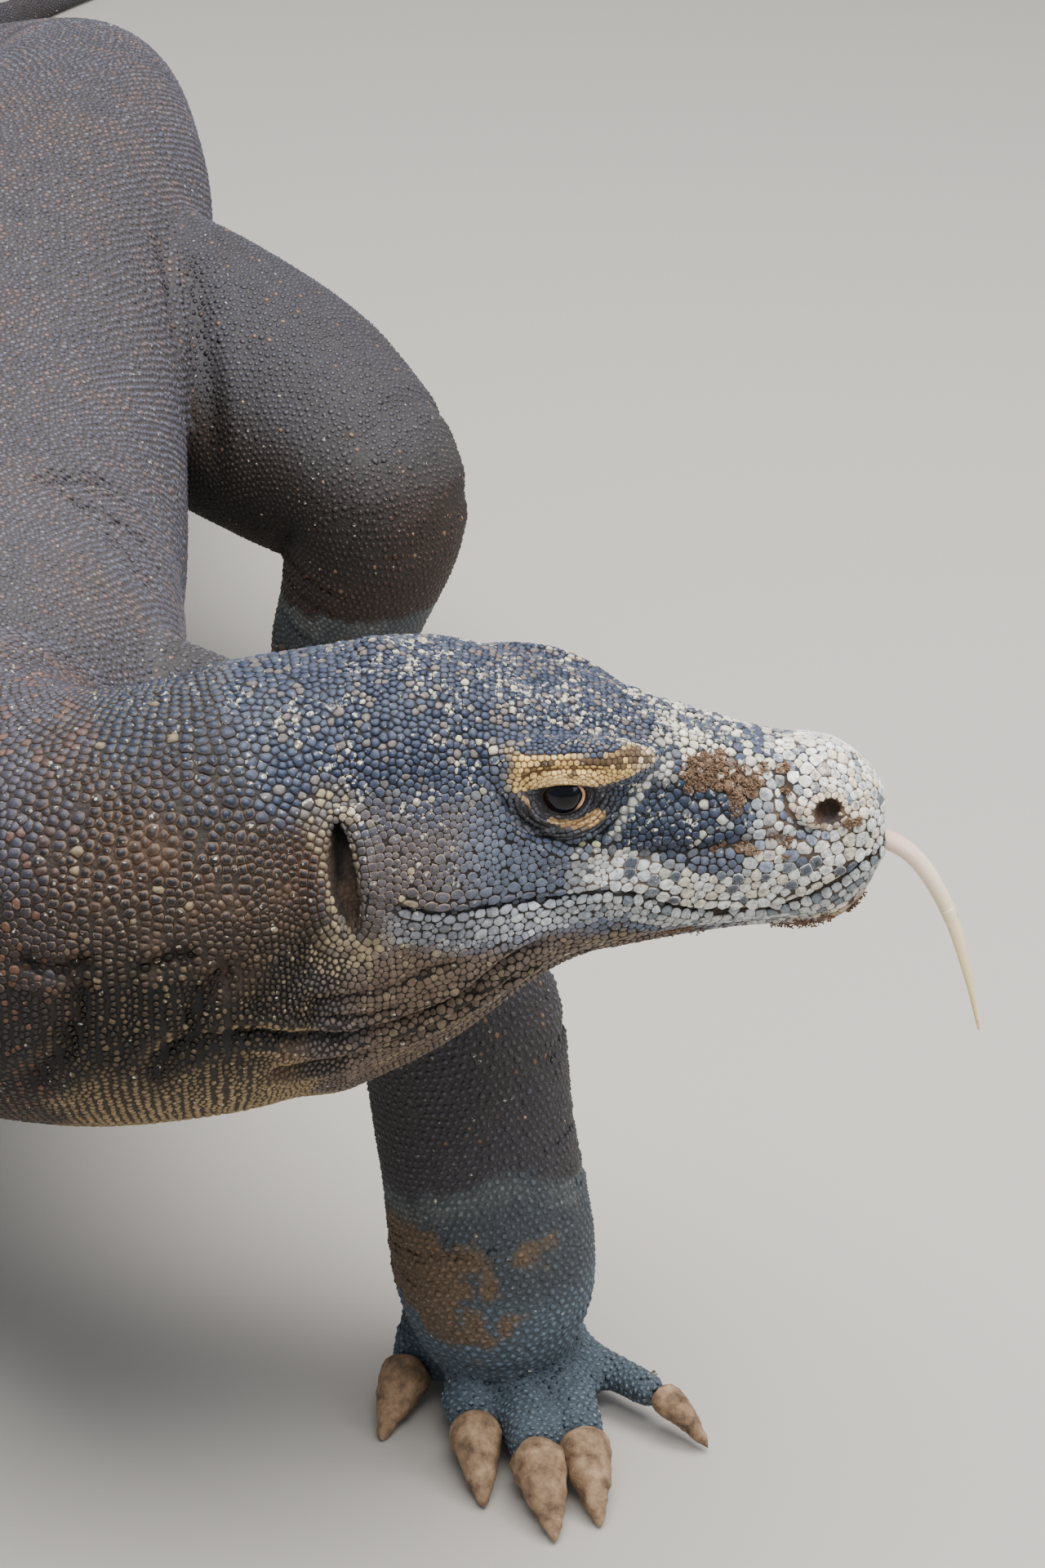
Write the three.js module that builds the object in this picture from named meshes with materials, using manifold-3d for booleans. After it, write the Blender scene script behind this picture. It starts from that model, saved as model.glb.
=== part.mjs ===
// A life-size Komodo dragon, standing in mid stride with its head turned to its left and its tongue out.
// Millimetres, +Z up. The dragon faces -Y, so its left side is +X. The floor is z = 0.
// The body is one loft from snout to tail tip, the legs are lofts joined to it, and thin cuts part it
// into head, jaw, neck, trunk, tail and legs. Toes, claws, eyes and tongue are lofts and balls of their own.
import * as THREE from "three";
import { LoftGeometry } from "three/addons/geometries/LoftGeometry.js";
import { mergeVertices } from "three/addons/utils/BufferGeometryUtils.js";
import Module from "manifold-3d";

const wasm = await Module();
wasm.setup();

// ---------------------------------------------------------------- driving dimensions
const GAP = 0.4; // clearance left between neighbouring pieces
const BODY_SIDES = 20; // points round each section of head, trunk and tail
const LEG_SIDES = 12;
const TOE_SIDES = 6;
const CLAW_SIDES = 5;
const FAR = 3000; // reach of the boxes used as cutting tools

const SNOUT = new THREE.Vector3(394, -680, 304); // foremost point of the head
const MOUTH_CORNER = 170; // how far the mouth reaches back from the snout
const EYE = { back: 119.5, out: 33.5, z: 328.5, radius: 10 };
const NOSTRIL = { back: 25, out: 25, z: 314, long: 5.5, tall: 4.2, deep: 7 };
const EAR = { back: 198, out: 66, z: 309, long: 6, tall: 17, deep: 9 };
const BROW = { back: 119, out: 36, z: 343, long: 28, wide: 8.5, tall: 9 };

// ---------------------------------------------------------------- the body's sections, snout to tail tip
// at: the middle of the section; left, right, up, down: how far the flesh reaches from it;
// square: 2 is an ellipse, and more is boxier
const station = (x, y, z, left, right, up, down, square = 2.2) => ({
  at: new THREE.Vector3(x, y, z),
  sizes: [left, right, up, down, square],
});
// A head section stands back from the snout, is as wide on both sides and reaches from bottom to top.
const headStation = (back, half, top, bottom, square = 2.4) => {
  const middle = (top + bottom) / 2;
  const y = SNOUT.y;
  return station(SNOUT.x - back, y, middle, half, half, top - middle, middle - bottom, square);
};

const BODY = [
  headStation(0, 8, 306, 293),
  headStation(2.5, 13, 313, 282),
  headStation(7, 18, 319.5, 271),
  headStation(14, 22, 326, 261),
  headStation(25, 25.5, 331, 256),
  headStation(42, 28, 333, 256),
  headStation(60, 31, 337, 255),
  headStation(78, 35.5, 342, 253),
  headStation(96, 40, 348, 251, 2.5),
  headStation(113, 43.5, 354, 247, 2.5),
  headStation(130, 47.5, 359, 237, 2.4),
  headStation(148, 53.5, 364, 221, 2.3),
  headStation(166, 59.5, 367, 208, 2.3),
  headStation(183, 63.5, 367, 198, 2.2),
  headStation(200, 65, 364, 190, 2.2),
  station(168, -683, 272, 66, 72, 88, 81),
  station(140, -690, 268, 66, 78, 88, 78),
  station(112, -688, 264, 66, 83, 86, 78),
  station(82, -675, 261, 66, 87, 84, 80),
  station(60, -652, 259, 67, 91, 84, 86),
  station(48, -622, 257, 71, 94, 87, 94),
  station(44, -588, 254, 79, 97, 91, 99),
  station(38, -545, 250, 90, 101, 94, 100),
  station(24, -490, 242, 100, 107, 94, 100),
  station(2, -420, 230, 115, 120, 97, 105),
  station(-18, -345, 221, 125, 131, 101, 110, 2.3),
  station(-30, -255, 217, 131, 137, 103, 110, 2.3),
  station(-33, -160, 220, 127, 133, 104, 102, 2.3),
  station(-26, -60, 229, 114, 118, 101, 90),
  station(-14, 40, 238, 103, 103, 95, 83),
  station(-7, 135, 241, 93, 93, 88, 78),
  station(-7, 235, 238, 79, 79, 78, 71),
  station(-16, 345, 226, 68, 68, 70, 66),
  station(-44, 465, 202, 57, 57, 61, 58),
  station(-90, 590, 171, 47, 47, 52, 50),
  station(-140, 720, 135, 38, 38, 45, 43),
  station(-184, 850, 99, 31, 31, 39.5, 37.5),
  station(-216, 975, 67, 24.5, 24.5, 33.5, 32.5),
  station(-230, 1095, 42, 19.5, 19.5, 27.5, 28),
  station(-220, 1205, 26, 15, 15, 21.5, 23.5),
  station(-190, 1305, 17, 11.5, 11.5, 16, 18.5),
  station(-146, 1390, 11, 8, 8, 11, 13),
  station(-100, 1455, 7, 5, 5, 7, 8.5),
  station(-66, 1492, 4.6, 3.2, 3.2, 4, 5.5),
];
// The pieces of the body, by the station where each one ends.
const BODY_PIECES = [
  ["head", 14],
  ["neck", 21],
  ["chest", 24],
  ["belly", 27],
  ["pelvis", 31],
  ["tail_base", 33],
  ["tail_middle", 35],
  ["tail_rear", 38],
  ["tail_tip", BODY.length - 1],
];

// ---------------------------------------------------------------- the legs
// Each leg's joints, and the flesh's radius there. root lies inside the trunk.
const LEGS = {
  fore_left: {
    root: [70, -545, 262, 52],
    upper: [124, -556, 250, 53],
    muscle: [180, -584, 217, 49],
    bend: [229, -606, 180, 44],
    shin: [241, -620, 122, 42],
    end: [249, -632, 56, 42],
    heading: 20,
    outward: 1,
    foot: "fore",
  },
  fore_right: {
    root: [0, -545, 260, 52],
    upper: [-62, -556, 246, 53],
    muscle: [-122, -570, 208, 49],
    bend: [-172, -590, 168, 43],
    shin: [-176, -628, 114, 41],
    end: [-178, -662, 56, 41],
    heading: 14,
    outward: -1,
    foot: "fore",
  },
  hind_left: {
    root: [20, 40, 224, 74],
    upper: [84, -4, 209, 74],
    muscle: [144, -52, 190, 68],
    bend: [183, -100, 170, 51],
    shin: [172, -92, 114, 42],
    end: [158, -68, 62, 36],
    heading: 16,
    outward: 1,
    foot: "hind",
  },
  hind_right: {
    root: [-50, 50, 224, 74],
    upper: [-112, 42, 211, 74],
    muscle: [-174, 20, 191, 66],
    bend: [-222, -6, 170, 50],
    shin: [-232, 50, 118, 42],
    end: [-240, 98, 64, 35],
    heading: 24,
    outward: -1,
    foot: "hind",
  },
};

// Feet, in their own frame: forward along the heading, and outward from the body's middle.
// A palm's sections are [forward, inner edge, outer edge, top]. A toe's root and tip are
// [forward, outward]; claw is the claw's length, and radius the toe's.
const FEET = {
  fore: {
    palm: [
      [-27, -38, 38, 57],
      [-14, -28, 40, 50],
      [4, -25, 41, 41],
      [20, -25, 39, 33],
      [32, -20, 31, 25],
    ],
    toes: [
      { root: [-21, -24], tip: [15, -55], radius: 9.8, claw: 31 },
      { root: [20, -19], tip: [71, -30], radius: 9.8, claw: 36 },
      { root: [31, 0], tip: [100, -11], radius: 10.2, claw: 39 },
      { root: [31, 20], tip: [97, 9], radius: 9.8, claw: 37 },
      { root: [3, 35], tip: [67, 68], radius: 7, claw: 27 },
    ],
  },
  hind: {
    palm: [
      [-26, -31, 31, 66],
      [-4, -27, 30, 54],
      [22, -25, 28, 42],
      [48, -21, 27, 32],
      [70, -15, 22, 25],
    ],
    toes: [
      { root: [36, -20], tip: [78, -50], radius: 8, claw: 31 },
      { root: [58, -15], tip: [112, -29], radius: 8.8, claw: 35 },
      { root: [66, 0], tip: [136, -5], radius: 9.2, claw: 37 },
      { root: [62, 15], tip: [143, 28], radius: 8.8, claw: 36 },
      { root: [-2, 20], tip: [42, 66], radius: 7, claw: 28 },
    ],
  },
};
const HEEL_DEPTH = 36; // how far a leg's flesh runs on below its wrist or ankle
const TOE_ARCH = 9; // how far a toe's middle joint stands above its straight line
const CLAW_DROP = 15; // height of a claw's root above its tip

// ---------------------------------------------------------------- materials
const material = (color, roughness) =>
  new THREE.MeshStandardMaterial({ color, roughness, metalness: 0 });
const HIDE = material(0x4c4a48, 0.8);
const CLAW_HORN = material(0x8d7459, 0.6);
const EYE_DARK = material(0x14161c, 0.08);
const TONGUE_PINK = material(0xe9c39a, 0.4);

// ---------------------------------------------------------------- solids and cuts
function solid(geometry) {
  const bare = new THREE.BufferGeometry();
  bare.setAttribute("position", geometry.attributes.position);
  bare.setIndex(geometry.index);
  const merged = mergeVertices(bare, 1e-4);
  const vertProperties = new Float32Array(merged.attributes.position.array);
  const triVerts = new Uint32Array(merged.index.array);
  return new wasm.Manifold(new wasm.Mesh({ numProp: 3, vertProperties, triVerts }));
}

function meshFrom(name, shape, finish) {
  const { vertProperties, triVerts } = shape.getMesh();
  const geometry = new THREE.BufferGeometry();
  geometry.setAttribute("position", new THREE.BufferAttribute(vertProperties, 3));
  geometry.setIndex(new THREE.BufferAttribute(triVerts, 1));
  geometry.computeVertexNormals();
  const mesh = new THREE.Mesh(geometry, finish);
  mesh.name = name;
  return mesh;
}

// The biggest body of a shape, without the crumbs that a cut may leave.
function largest(shape) {
  const bodies = shape.decompose();
  return bodies.reduce((best, body) => (body.volume() > best.volume() ? body : best));
}

const centreOf = (ring) =>
  ring.reduce((sum, p) => sum.add(p), new THREE.Vector3()).divideScalar(ring.length);

// A closed tube through rings of points. Each ring is turned to run anticlockwise seen from the tube's end.
function loft(rings) {
  const [first, next] = rings.map(centreOf);
  const quarter = Math.floor(rings[0].length / 4);
  const spoke = rings[0][0].clone().sub(first);
  const normal = spoke.cross(rings[0][quarter].clone().sub(first));
  const forwards = normal.dot(next.sub(first)) > 0;
  const sections = forwards ? rings : rings.map((ring) => [...ring].reverse());
  return solid(new LoftGeometry(sections, { capStart: true, capEnd: true }));
}

function ball(x, y, z, rx, ry, rz, sides = 16) {
  const geometry = new THREE.SphereGeometry(1, sides, Math.round(sides * 0.7));
  return solid(geometry.scale(rx, ry, rz).translate(x, y, z));
}

// A thin slab, upright and square to a level direction, that reaches a limited way each side.
function slab(at, along, thickness, reach) {
  const box = new THREE.BoxGeometry(reach * 2, thickness, reach * 2);
  const turn = Math.atan2(-along.x, along.y);
  return solid(box.rotateZ(turn).translate(at.x, at.y, at.z));
}

const floor = solid(new THREE.BoxGeometry(FAR * 2, FAR * 2, FAR).translate(0, 0, -FAR / 2));

// ---------------------------------------------------------------- body
const power = (value, exponent) => Math.sign(value) * Math.abs(value) ** exponent;

// The body's level heading at a station, from snout towards tail.
function heading(index) {
  const before = BODY[Math.max(index - 1, 0)].at;
  const after = BODY[Math.min(index + 1, BODY.length - 1)].at;
  return new THREE.Vector3(after.x - before.x, after.y - before.y, 0).normalize();
}

function bodySection(index, swell) {
  const { at, sizes } = BODY[index];
  const [left, right, up, down, square] = sizes;
  const along = heading(index);
  const leftward = new THREE.Vector3(along.y, -along.x, 0);
  const points = [];
  for (let i = 0; i < BODY_SIDES; i++) {
    const angle = (i / BODY_SIDES) * Math.PI * 2;
    const side = power(Math.cos(angle), 2 / square);
    const rise = power(Math.sin(angle), 2 / square);
    const across = side > 0 ? side * (right + swell) : side * (left + swell);
    const height = rise > 0 ? rise * (up + swell) : rise * (down + swell);
    points.push(at.clone().addScaledVector(leftward, -across).add(new THREE.Vector3(0, 0, height)));
  }
  return points;
}

function wholeBody(swell = 0) {
  return loft(BODY.map((_, index) => bodySection(index, swell)));
}

// ---------------------------------------------------------------- head
const alongHead = (back) => SNOUT.x - back;

// The mouth's line from its front to its corner: it dips under the snout and rises to the cheek.
const MOUTH_LINE = new THREE.SplineCurve([
  new THREE.Vector2(alongHead(-30), 289),
  new THREE.Vector2(alongHead(8), 284.5),
  new THREE.Vector2(alongHead(40), 278),
  new THREE.Vector2(alongHead(75), 279),
  new THREE.Vector2(alongHead(105), 286),
  new THREE.Vector2(alongHead(MOUTH_CORNER), 292),
]);

// Everything below the mouth's line and in front of its corner, drawn in side view and pulled across the head.
function jawRegion(grow) {
  const line = MOUTH_LINE.getPoints(10);
  const outline = line.map((p) => new THREE.Vector2(p.x, p.y + grow));
  const corner = alongHead(MOUTH_CORNER) - grow;
  outline.push(new THREE.Vector2(corner, line[line.length - 1].y + grow));
  outline.push(new THREE.Vector2(corner + 26, 150));
  outline.push(new THREE.Vector2(alongHead(-30), 150));
  const geometry = new THREE.ExtrudeGeometry(new THREE.Shape(outline), {
    depth: 300,
    bevelEnabled: false,
  });
  return solid(geometry.rotateX(Math.PI / 2).translate(0, SNOUT.y + 150, 0));
}

function eyeBall(side, swell = 0) {
  const r = EYE.radius + swell;
  return ball(alongHead(EYE.back), SNOUT.y + side * EYE.out, EYE.z, r, r, r, 10);
}

// The tongue curves out of the mouth and down, and splits into two tines.
const TONGUE = { wide: 4.6, thick: 3.6, tip: 0.7, fork: 0.5, spread: 5, stub: 0.9, sides: 6 };
const tonguePath = new THREE.CatmullRomCurve3([
  new THREE.Vector3(alongHead(16), SNOUT.y, 291),
  new THREE.Vector3(alongHead(4), SNOUT.y, 290.5),
  new THREE.Vector3(alongHead(-9), SNOUT.y, 283),
  new THREE.Vector3(alongHead(-23), SNOUT.y, 261),
  new THREE.Vector3(alongHead(-32), SNOUT.y - 1, 234),
  new THREE.Vector3(alongHead(-39), SNOUT.y - 2, 204),
]);

// A stretch of the tongue. size gives half the width, half the thickness and the shift to one side.
function tongueStretch(from, to, steps, size) {
  const rings = [];
  for (let i = 0; i <= steps; i++) {
    const share = i / steps;
    const t = from + (to - from) * share;
    const at = tonguePath.getPointAt(t);
    const along = tonguePath.getTangentAt(t);
    const normal = new THREE.Vector3(along.z, 0, -along.x);
    const [wide, thick, shift] = size(share);
    const ring = [];
    for (let k = 0; k < TONGUE.sides; k++) {
      const angle = (k / TONGUE.sides) * Math.PI * 2;
      const place = at.clone().addScaledVector(normal, Math.sin(angle) * thick);
      place.y += shift + Math.cos(angle) * wide;
      ring.push(place);
    }
    rings.push(ring);
  }
  return loft(rings);
}

function tongue(swell = 0) {
  const { wide, thick, tip, fork, spread, stub } = TONGUE;
  const root = tongueStretch(0, fork, 4, (share) => {
    return [wide * (1 - 0.12 * share) + swell, thick * (1 - 0.22 * share) + swell, 0];
  });
  const tine = (side, reach) =>
    tongueStretch(fork - 0.06, reach, 4, (share) => {
      const left = 1 - share ** 1.5;
      const half = tip + (wide * 0.46 - tip) * left + swell;
      return [half, tip + (thick * 0.7 - tip) * left + swell, side * (wide * 0.42 + share * spread)];
    });
  return root.add(tine(1, 1)).add(tine(-1, stub));
}

function carveHead(head) {
  for (const side of [1, -1]) {
    const y = (out) => SNOUT.y + side * out;
    const brow = ball(alongHead(BROW.back), y(BROW.out), BROW.z, BROW.long, BROW.wide, BROW.tall, 8);
    const nostril = [NOSTRIL.long, NOSTRIL.deep, NOSTRIL.tall];
    const ear = [EAR.long, EAR.deep, EAR.tall];
    head = head
      .add(brow)
      .subtract(eyeBall(side, GAP))
      .subtract(ball(alongHead(NOSTRIL.back), y(NOSTRIL.out), NOSTRIL.z, ...nostril, 8))
      .subtract(ball(alongHead(EAR.back), y(EAR.out), EAR.z, ...ear, 8));
  }
  return head.subtract(tongue(GAP));
}

// ---------------------------------------------------------------- legs
const point = ([x, y, z]) => new THREE.Vector3(x, y, z);

// Round sections along a path, their radius eased between its points.
function limb(stops, sides, steps, flatten = 1) {
  const path = new THREE.CatmullRomCurve3(stops.map(point));
  const frames = path.computeFrenetFrames(steps, false);
  const radii = new THREE.SplineCurve(stops.map((stop, i) => new THREE.Vector2(i, stop[3])));
  const sections = [];
  for (let i = 0; i <= steps; i++) {
    const at = path.getPointAt(i / steps);
    const radius = radii.getPoint(path.getUtoTmapping(i / steps)).y;
    const ring = [];
    for (let k = 0; k < sides; k++) {
      const angle = (k / sides) * Math.PI * 2;
      const across = Math.cos(angle) * radius;
      const over = Math.sin(angle) * radius * flatten;
      ring.push(
        at.clone().addScaledVector(frames.normals[i], across).addScaledVector(frames.binormals[i], over),
      );
    }
    sections.push(ring);
  }
  return loft(sections);
}

// A foot's frame: its wrist, and where forward and outward point on the floor.
function footFrame(leg) {
  const angle = THREE.MathUtils.degToRad(leg.heading);
  const forward = new THREE.Vector3(leg.outward * Math.sin(angle), -Math.cos(angle), 0);
  const outward = new THREE.Vector3(leg.outward * Math.cos(angle), Math.sin(angle), 0);
  const wrist = point(leg.end);
  const place = (ahead, out, z) =>
    new THREE.Vector3(wrist.x, wrist.y, z)
      .addScaledVector(forward, ahead)
      .addScaledVector(outward, out);
  return { forward, outward, place, wrist };
}

function palm(leg) {
  const { place } = footFrame(leg);
  const sections = FEET[leg.foot].palm.map(([ahead, inner, outer, top]) => {
    const ring = [];
    for (let k = 0; k < LEG_SIDES; k++) {
      const angle = (k / LEG_SIDES) * Math.PI * 2;
      const out = (inner + outer + power(Math.cos(angle), 0.85) * (outer - inner)) / 2;
      const z = top / 2 - 1 + (power(Math.sin(angle), 0.8) * (top + 2)) / 2;
      ring.push(place(ahead, out, z));
    }
    return ring;
  });
  return loft(sections);
}

// A toe and its claw share one plane: the toe arches, and the claw hooks down to just above the floor.
function toeAndClaw(leg, { root: base, tip, radius, claw }) {
  const { place } = footFrame(leg);
  const span = Math.hypot(tip[0] - base[0], tip[1] - base[1]);
  const spot = (distance, z) => {
    const t = distance / span;
    const at = place(base[0] + (tip[0] - base[0]) * t, base[1] + (tip[1] - base[1]) * t, z);
    return at.toArray();
  };
  const join = span - claw;
  const rise = radius - 1.2;
  const toe = [
    [...spot(-4, rise + 8), radius * 1.15],
    [...spot(join * 0.5, rise + TOE_ARCH), radius * 1.05],
    [...spot(join - 3, CLAW_DROP), radius],
    [...spot(join, CLAW_DROP), radius * 0.86],
  ];
  const root = join + GAP;
  const hook = [
    [...spot(root, CLAW_DROP), radius * 0.74],
    [...spot(root + 3, CLAW_DROP), radius * 0.76],
    [...spot(root + claw * 0.45, CLAW_DROP - 3), radius * 0.55],
    [...spot(root + claw * 0.78, CLAW_DROP * 0.45), radius * 0.32],
    [...spot(root + claw * 0.97, 2.1), 0.9],
  ];
  return { toe: limb(toe, TOE_SIDES, 3), claw: limb(hook, CLAW_SIDES, 3) };
}

// ---------------------------------------------------------------- the dragon
const komodo = new THREE.Group();

function addPiece(name, shape, finish) {
  komodo.add(meshFrom(name, largest(shape), finish));
}

const body = wholeBody().subtract(floor);
const bodyShadow = wholeBody(GAP);

function addBody() {
  let rest = body;
  BODY_PIECES.forEach(([name, end], order) => {
    let piece = rest;
    if (order < BODY_PIECES.length - 1) {
      const along = heading(end);
      const cut = slab(BODY[end].at, along, GAP, 240);
      const parts = rest.subtract(cut).decompose();
      const isFront = (part) => {
        const box = part.boundingBox();
        const middle = new THREE.Vector3(
          (box.min[0] + box.max[0]) / 2,
          (box.min[1] + box.max[1]) / 2,
          0,
        );
        return middle.sub(BODY[end].at).dot(along) < 0;
      };
      piece = parts.find(isFront);
      rest = parts.find((part) => !isFront(part));
    }
    if (name !== "head") {
      addPiece(name, piece, HIDE);
      return;
    }
    const head = carveHead(piece);
    addPiece("head", head.subtract(jawRegion(GAP)), HIDE);
    addPiece("jaw", head.intersect(jawRegion(0)), HIDE);
  });
}

function addLeg(name, leg) {
  const names = leg.foot === "fore" ? ["upper_arm", "forearm", "hand"] : ["thigh", "shank", "foot"];
  // The flesh runs on below the wrist or ankle, into the foot.
  const [, , z, radius] = leg.end;
  const heel = [...footFrame(leg).place(-10, 0, z - HEEL_DEPTH).toArray(), radius * 0.64];
  const stops = [leg.root, leg.upper, leg.muscle, leg.bend, leg.shin, leg.end, heel];
  const whole = limb(stops, LEG_SIDES, 10).subtract(bodyShadow);
  let foot = palm(leg);
  FEET[leg.foot].toes.forEach((toe, i) => {
    const made = toeAndClaw(leg, toe);
    foot = foot.add(made.toe);
    addPiece(`${name}_claw_${i + 1}`, made.claw, CLAW_HORN);
  });
  // The elbow or knee is cut square to the limb, and the wrist or ankle level.
  const bend = point(leg.bend);
  const lean = point(leg.shin).sub(point(leg.muscle)).normalize();
  const tool = (shift, thickness) => {
    const box = new THREE.BoxGeometry(260, 260, thickness);
    const turn = new THREE.Quaternion().setFromUnitVectors(new THREE.Vector3(0, 0, 1), lean);
    const centre = bend.clone().addScaledVector(lean, shift);
    return solid(box.applyQuaternion(turn).translate(centre.x, centre.y, centre.z));
  };
  const wristHeight = leg.end[2] + 4;
  const level = (z, thickness) =>
    solid(
      new THREE.BoxGeometry(240, 240, thickness).translate(leg.end[0], leg.end[1], z + thickness / 2),
    );
  const lower = whole.intersect(tool(130, 260)).intersect(level(wristHeight, 300));
  const ankle = whole.intersect(tool(130, 260)).intersect(level(-100, 100 + wristHeight - GAP));
  addPiece(`${name}_${names[0]}`, whole.subtract(tool(130 - GAP, 260)), HIDE);
  addPiece(`${name}_${names[1]}`, lower, HIDE);
  const sole = foot.intersect(level(-100, 100 + wristHeight - GAP));
  addPiece(`${name}_${names[2]}`, sole.add(ankle).subtract(floor), HIDE);
}

addBody();
for (const [name, leg] of Object.entries(LEGS)) addLeg(name, leg);
addPiece("eye_left", eyeBall(1), EYE_DARK);
addPiece("eye_right", eyeBall(-1), EYE_DARK);
addPiece("tongue", tongue(), TONGUE_PINK);

// The origin is on the floor, under the middle of the whole dragon.
const reach = new THREE.Box3().setFromObject(komodo);
const middle = reach.getCenter(new THREE.Vector3());
komodo.position.set(-middle.x, -middle.y, -reach.min.z);

export default komodo;
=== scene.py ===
import math

import bmesh
import bpy
import numpy as np
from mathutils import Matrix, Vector
from mathutils.bvhtree import BVHTree
from mathutils.kdtree import KDTree


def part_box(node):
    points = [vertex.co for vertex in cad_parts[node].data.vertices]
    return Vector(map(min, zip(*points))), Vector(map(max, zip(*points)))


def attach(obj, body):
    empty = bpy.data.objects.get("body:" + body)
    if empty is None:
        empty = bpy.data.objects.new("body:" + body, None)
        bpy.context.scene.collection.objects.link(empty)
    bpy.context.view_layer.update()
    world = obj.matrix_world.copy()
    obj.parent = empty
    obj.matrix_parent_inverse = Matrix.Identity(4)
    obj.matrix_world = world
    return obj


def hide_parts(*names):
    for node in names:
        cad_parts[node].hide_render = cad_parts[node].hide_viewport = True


# %% [markdown]
# ## The frame
# The solids are the measure of everything, so their box is kept from the start. The maker's own numbers
# below are millimetres in the dragon's own layout; the two eyes tell how that layout sits in the frame.
# %% Load the solids
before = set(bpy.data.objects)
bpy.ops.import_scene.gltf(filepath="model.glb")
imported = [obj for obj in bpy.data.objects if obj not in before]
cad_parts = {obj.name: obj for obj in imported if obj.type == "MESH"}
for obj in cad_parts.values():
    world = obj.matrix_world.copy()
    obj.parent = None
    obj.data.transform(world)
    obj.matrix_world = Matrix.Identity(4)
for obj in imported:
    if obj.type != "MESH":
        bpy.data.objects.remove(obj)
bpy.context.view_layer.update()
chance = np.random.default_rng(20)
EYE_MIDDLE = np.array((274.5, -680.0, 328.5))  # half way between the eyes, in the dragon's layout
eye_corners = [np.array(corner) for name in ("eye_left", "eye_right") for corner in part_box(name)]
SHIFT = sum(eye_corners) / 4 - EYE_MIDDLE / 1000
print("frame loaded, layout shifted by", SHIFT.round(4))


# %% Small helpers
def rows(text):
    """A table of numbers from a block of text."""
    return np.array([[float(word) for word in line.split()] for line in text.strip().splitlines()])


def ease(value, low, high):
    """0 below low, 1 above high, and a soft step between them; low may be the larger one."""
    t = np.clip((value - low) / (high - low), 0, 1)
    return t * t * (3 - 2 * t)


def power(value, exponent):
    return np.sign(value) * np.abs(value) ** exponent


def cubic(knots, table, at):
    """A smooth curve through the rows of a table, read at any places along its knots."""
    gap = np.diff(knots)[:, None]
    slope = np.diff(table, axis=0) / gap
    lean = np.empty_like(table)
    lean[0], lean[-1] = slope[0], slope[-1]
    lean[1:-1] = (slope[:-1] * gap[1:] + slope[1:] * gap[:-1]) / (gap[1:] + gap[:-1])
    i = np.clip(np.searchsorted(knots, at, side="right") - 1, 0, len(knots) - 2)
    h = gap[i]
    t = (np.asarray(at) - knots[i])[:, None] / h
    rise = t * t * (3 - 2 * t)
    start = (1 - t) ** 2 * t * h * lean[i]
    end = (t - 1) * t * t * h * lean[i + 1]
    return table[i] * (1 - rise) + table[i + 1] * rise + start + end


def cloud(points, size, seed):
    """Smooth random values from 0 to 1, in lumps of the given size."""
    q = points / size + seed * 7.31
    cell = np.floor(q).astype(np.int64)
    f = q - cell
    f = f * f * (3 - 2 * f)
    total = np.zeros(len(points))
    for corner in np.ndindex(2, 2, 2):
        c = cell + corner
        mix = (c[:, 0] * 73856093) ^ (c[:, 1] * 19349663) ^ (c[:, 2] * 83492791) ^ (seed * 912367)
        mix = ((mix ^ (mix >> 13)) * 1274126177) & 0x7FFFFFFF
        weight = np.prod(np.where(corner, f, 1 - f), axis=1)
        total += weight * ((mix % 10007) / 10007)
    return total


def unit(vectors):
    return vectors / np.maximum(np.linalg.norm(vectors, axis=-1, keepdims=True), 1e-9)


def walk_of(line, exponent=1.0):
    """How far along a line each of its points lies; an exponent below 1 evens out long and short steps."""
    return np.r_[0, np.cumsum(np.linalg.norm(np.diff(line, axis=0), axis=1) ** exponent)]


def new_mesh(name, points, faces=(), edges=()):
    mesh = bpy.data.meshes.new(name)
    mesh.from_pydata(np.asarray(points).tolist(), edges, faces)
    return mesh


def placed(name, data):
    """A new object in the scene that shows a mesh, a lamp or a camera."""
    made = bpy.data.objects.new(name, data)
    bpy.context.scene.collection.objects.link(made)
    return made


def worked(mesh, kind, inputs=None, **settings):
    """The mesh that one modifier makes of another; inputs are those of a Geometry Nodes tree, by name."""
    piece = placed("work", mesh)
    modifier = piece.modifiers.new("work", kind)
    for key, value in settings.items():
        setattr(modifier, key, value)
    for item in modifier.node_group.interface.items_tree if inputs else ():
        if item.in_out == "INPUT" and item.name in inputs:
            modifier[item.identifier] = inputs[item.name]
    graph = bpy.context.evaluated_depsgraph_get()
    result = bpy.data.meshes.new_from_object(piece.evaluated_get(graph))
    bpy.data.objects.remove(piece)
    return result


# %% [markdown]
# ## Camera and light
# The camera looks down on the head from in front and above, as a keeper would over a low wall. The light is
# that of an overcast day: one large soft panel above, a weaker one from the side, and a pale grey sky all
# round. The floor is plain, so that nothing competes with the hide.
# %% Camera, lights, sky and floor
right_eye = sum(eye_corners[2:]) / 2
camera_data = bpy.data.cameras.new("camera")
camera_data.lens = 85
camera_data.sensor_width = 36
camera = placed("camera", camera_data)
camera.location = right_eye + np.array((-0.0145, -1.1565, 0.6164))
camera.rotation_euler = (math.radians(62), 0, 0)
bpy.context.scene.camera = camera

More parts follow.
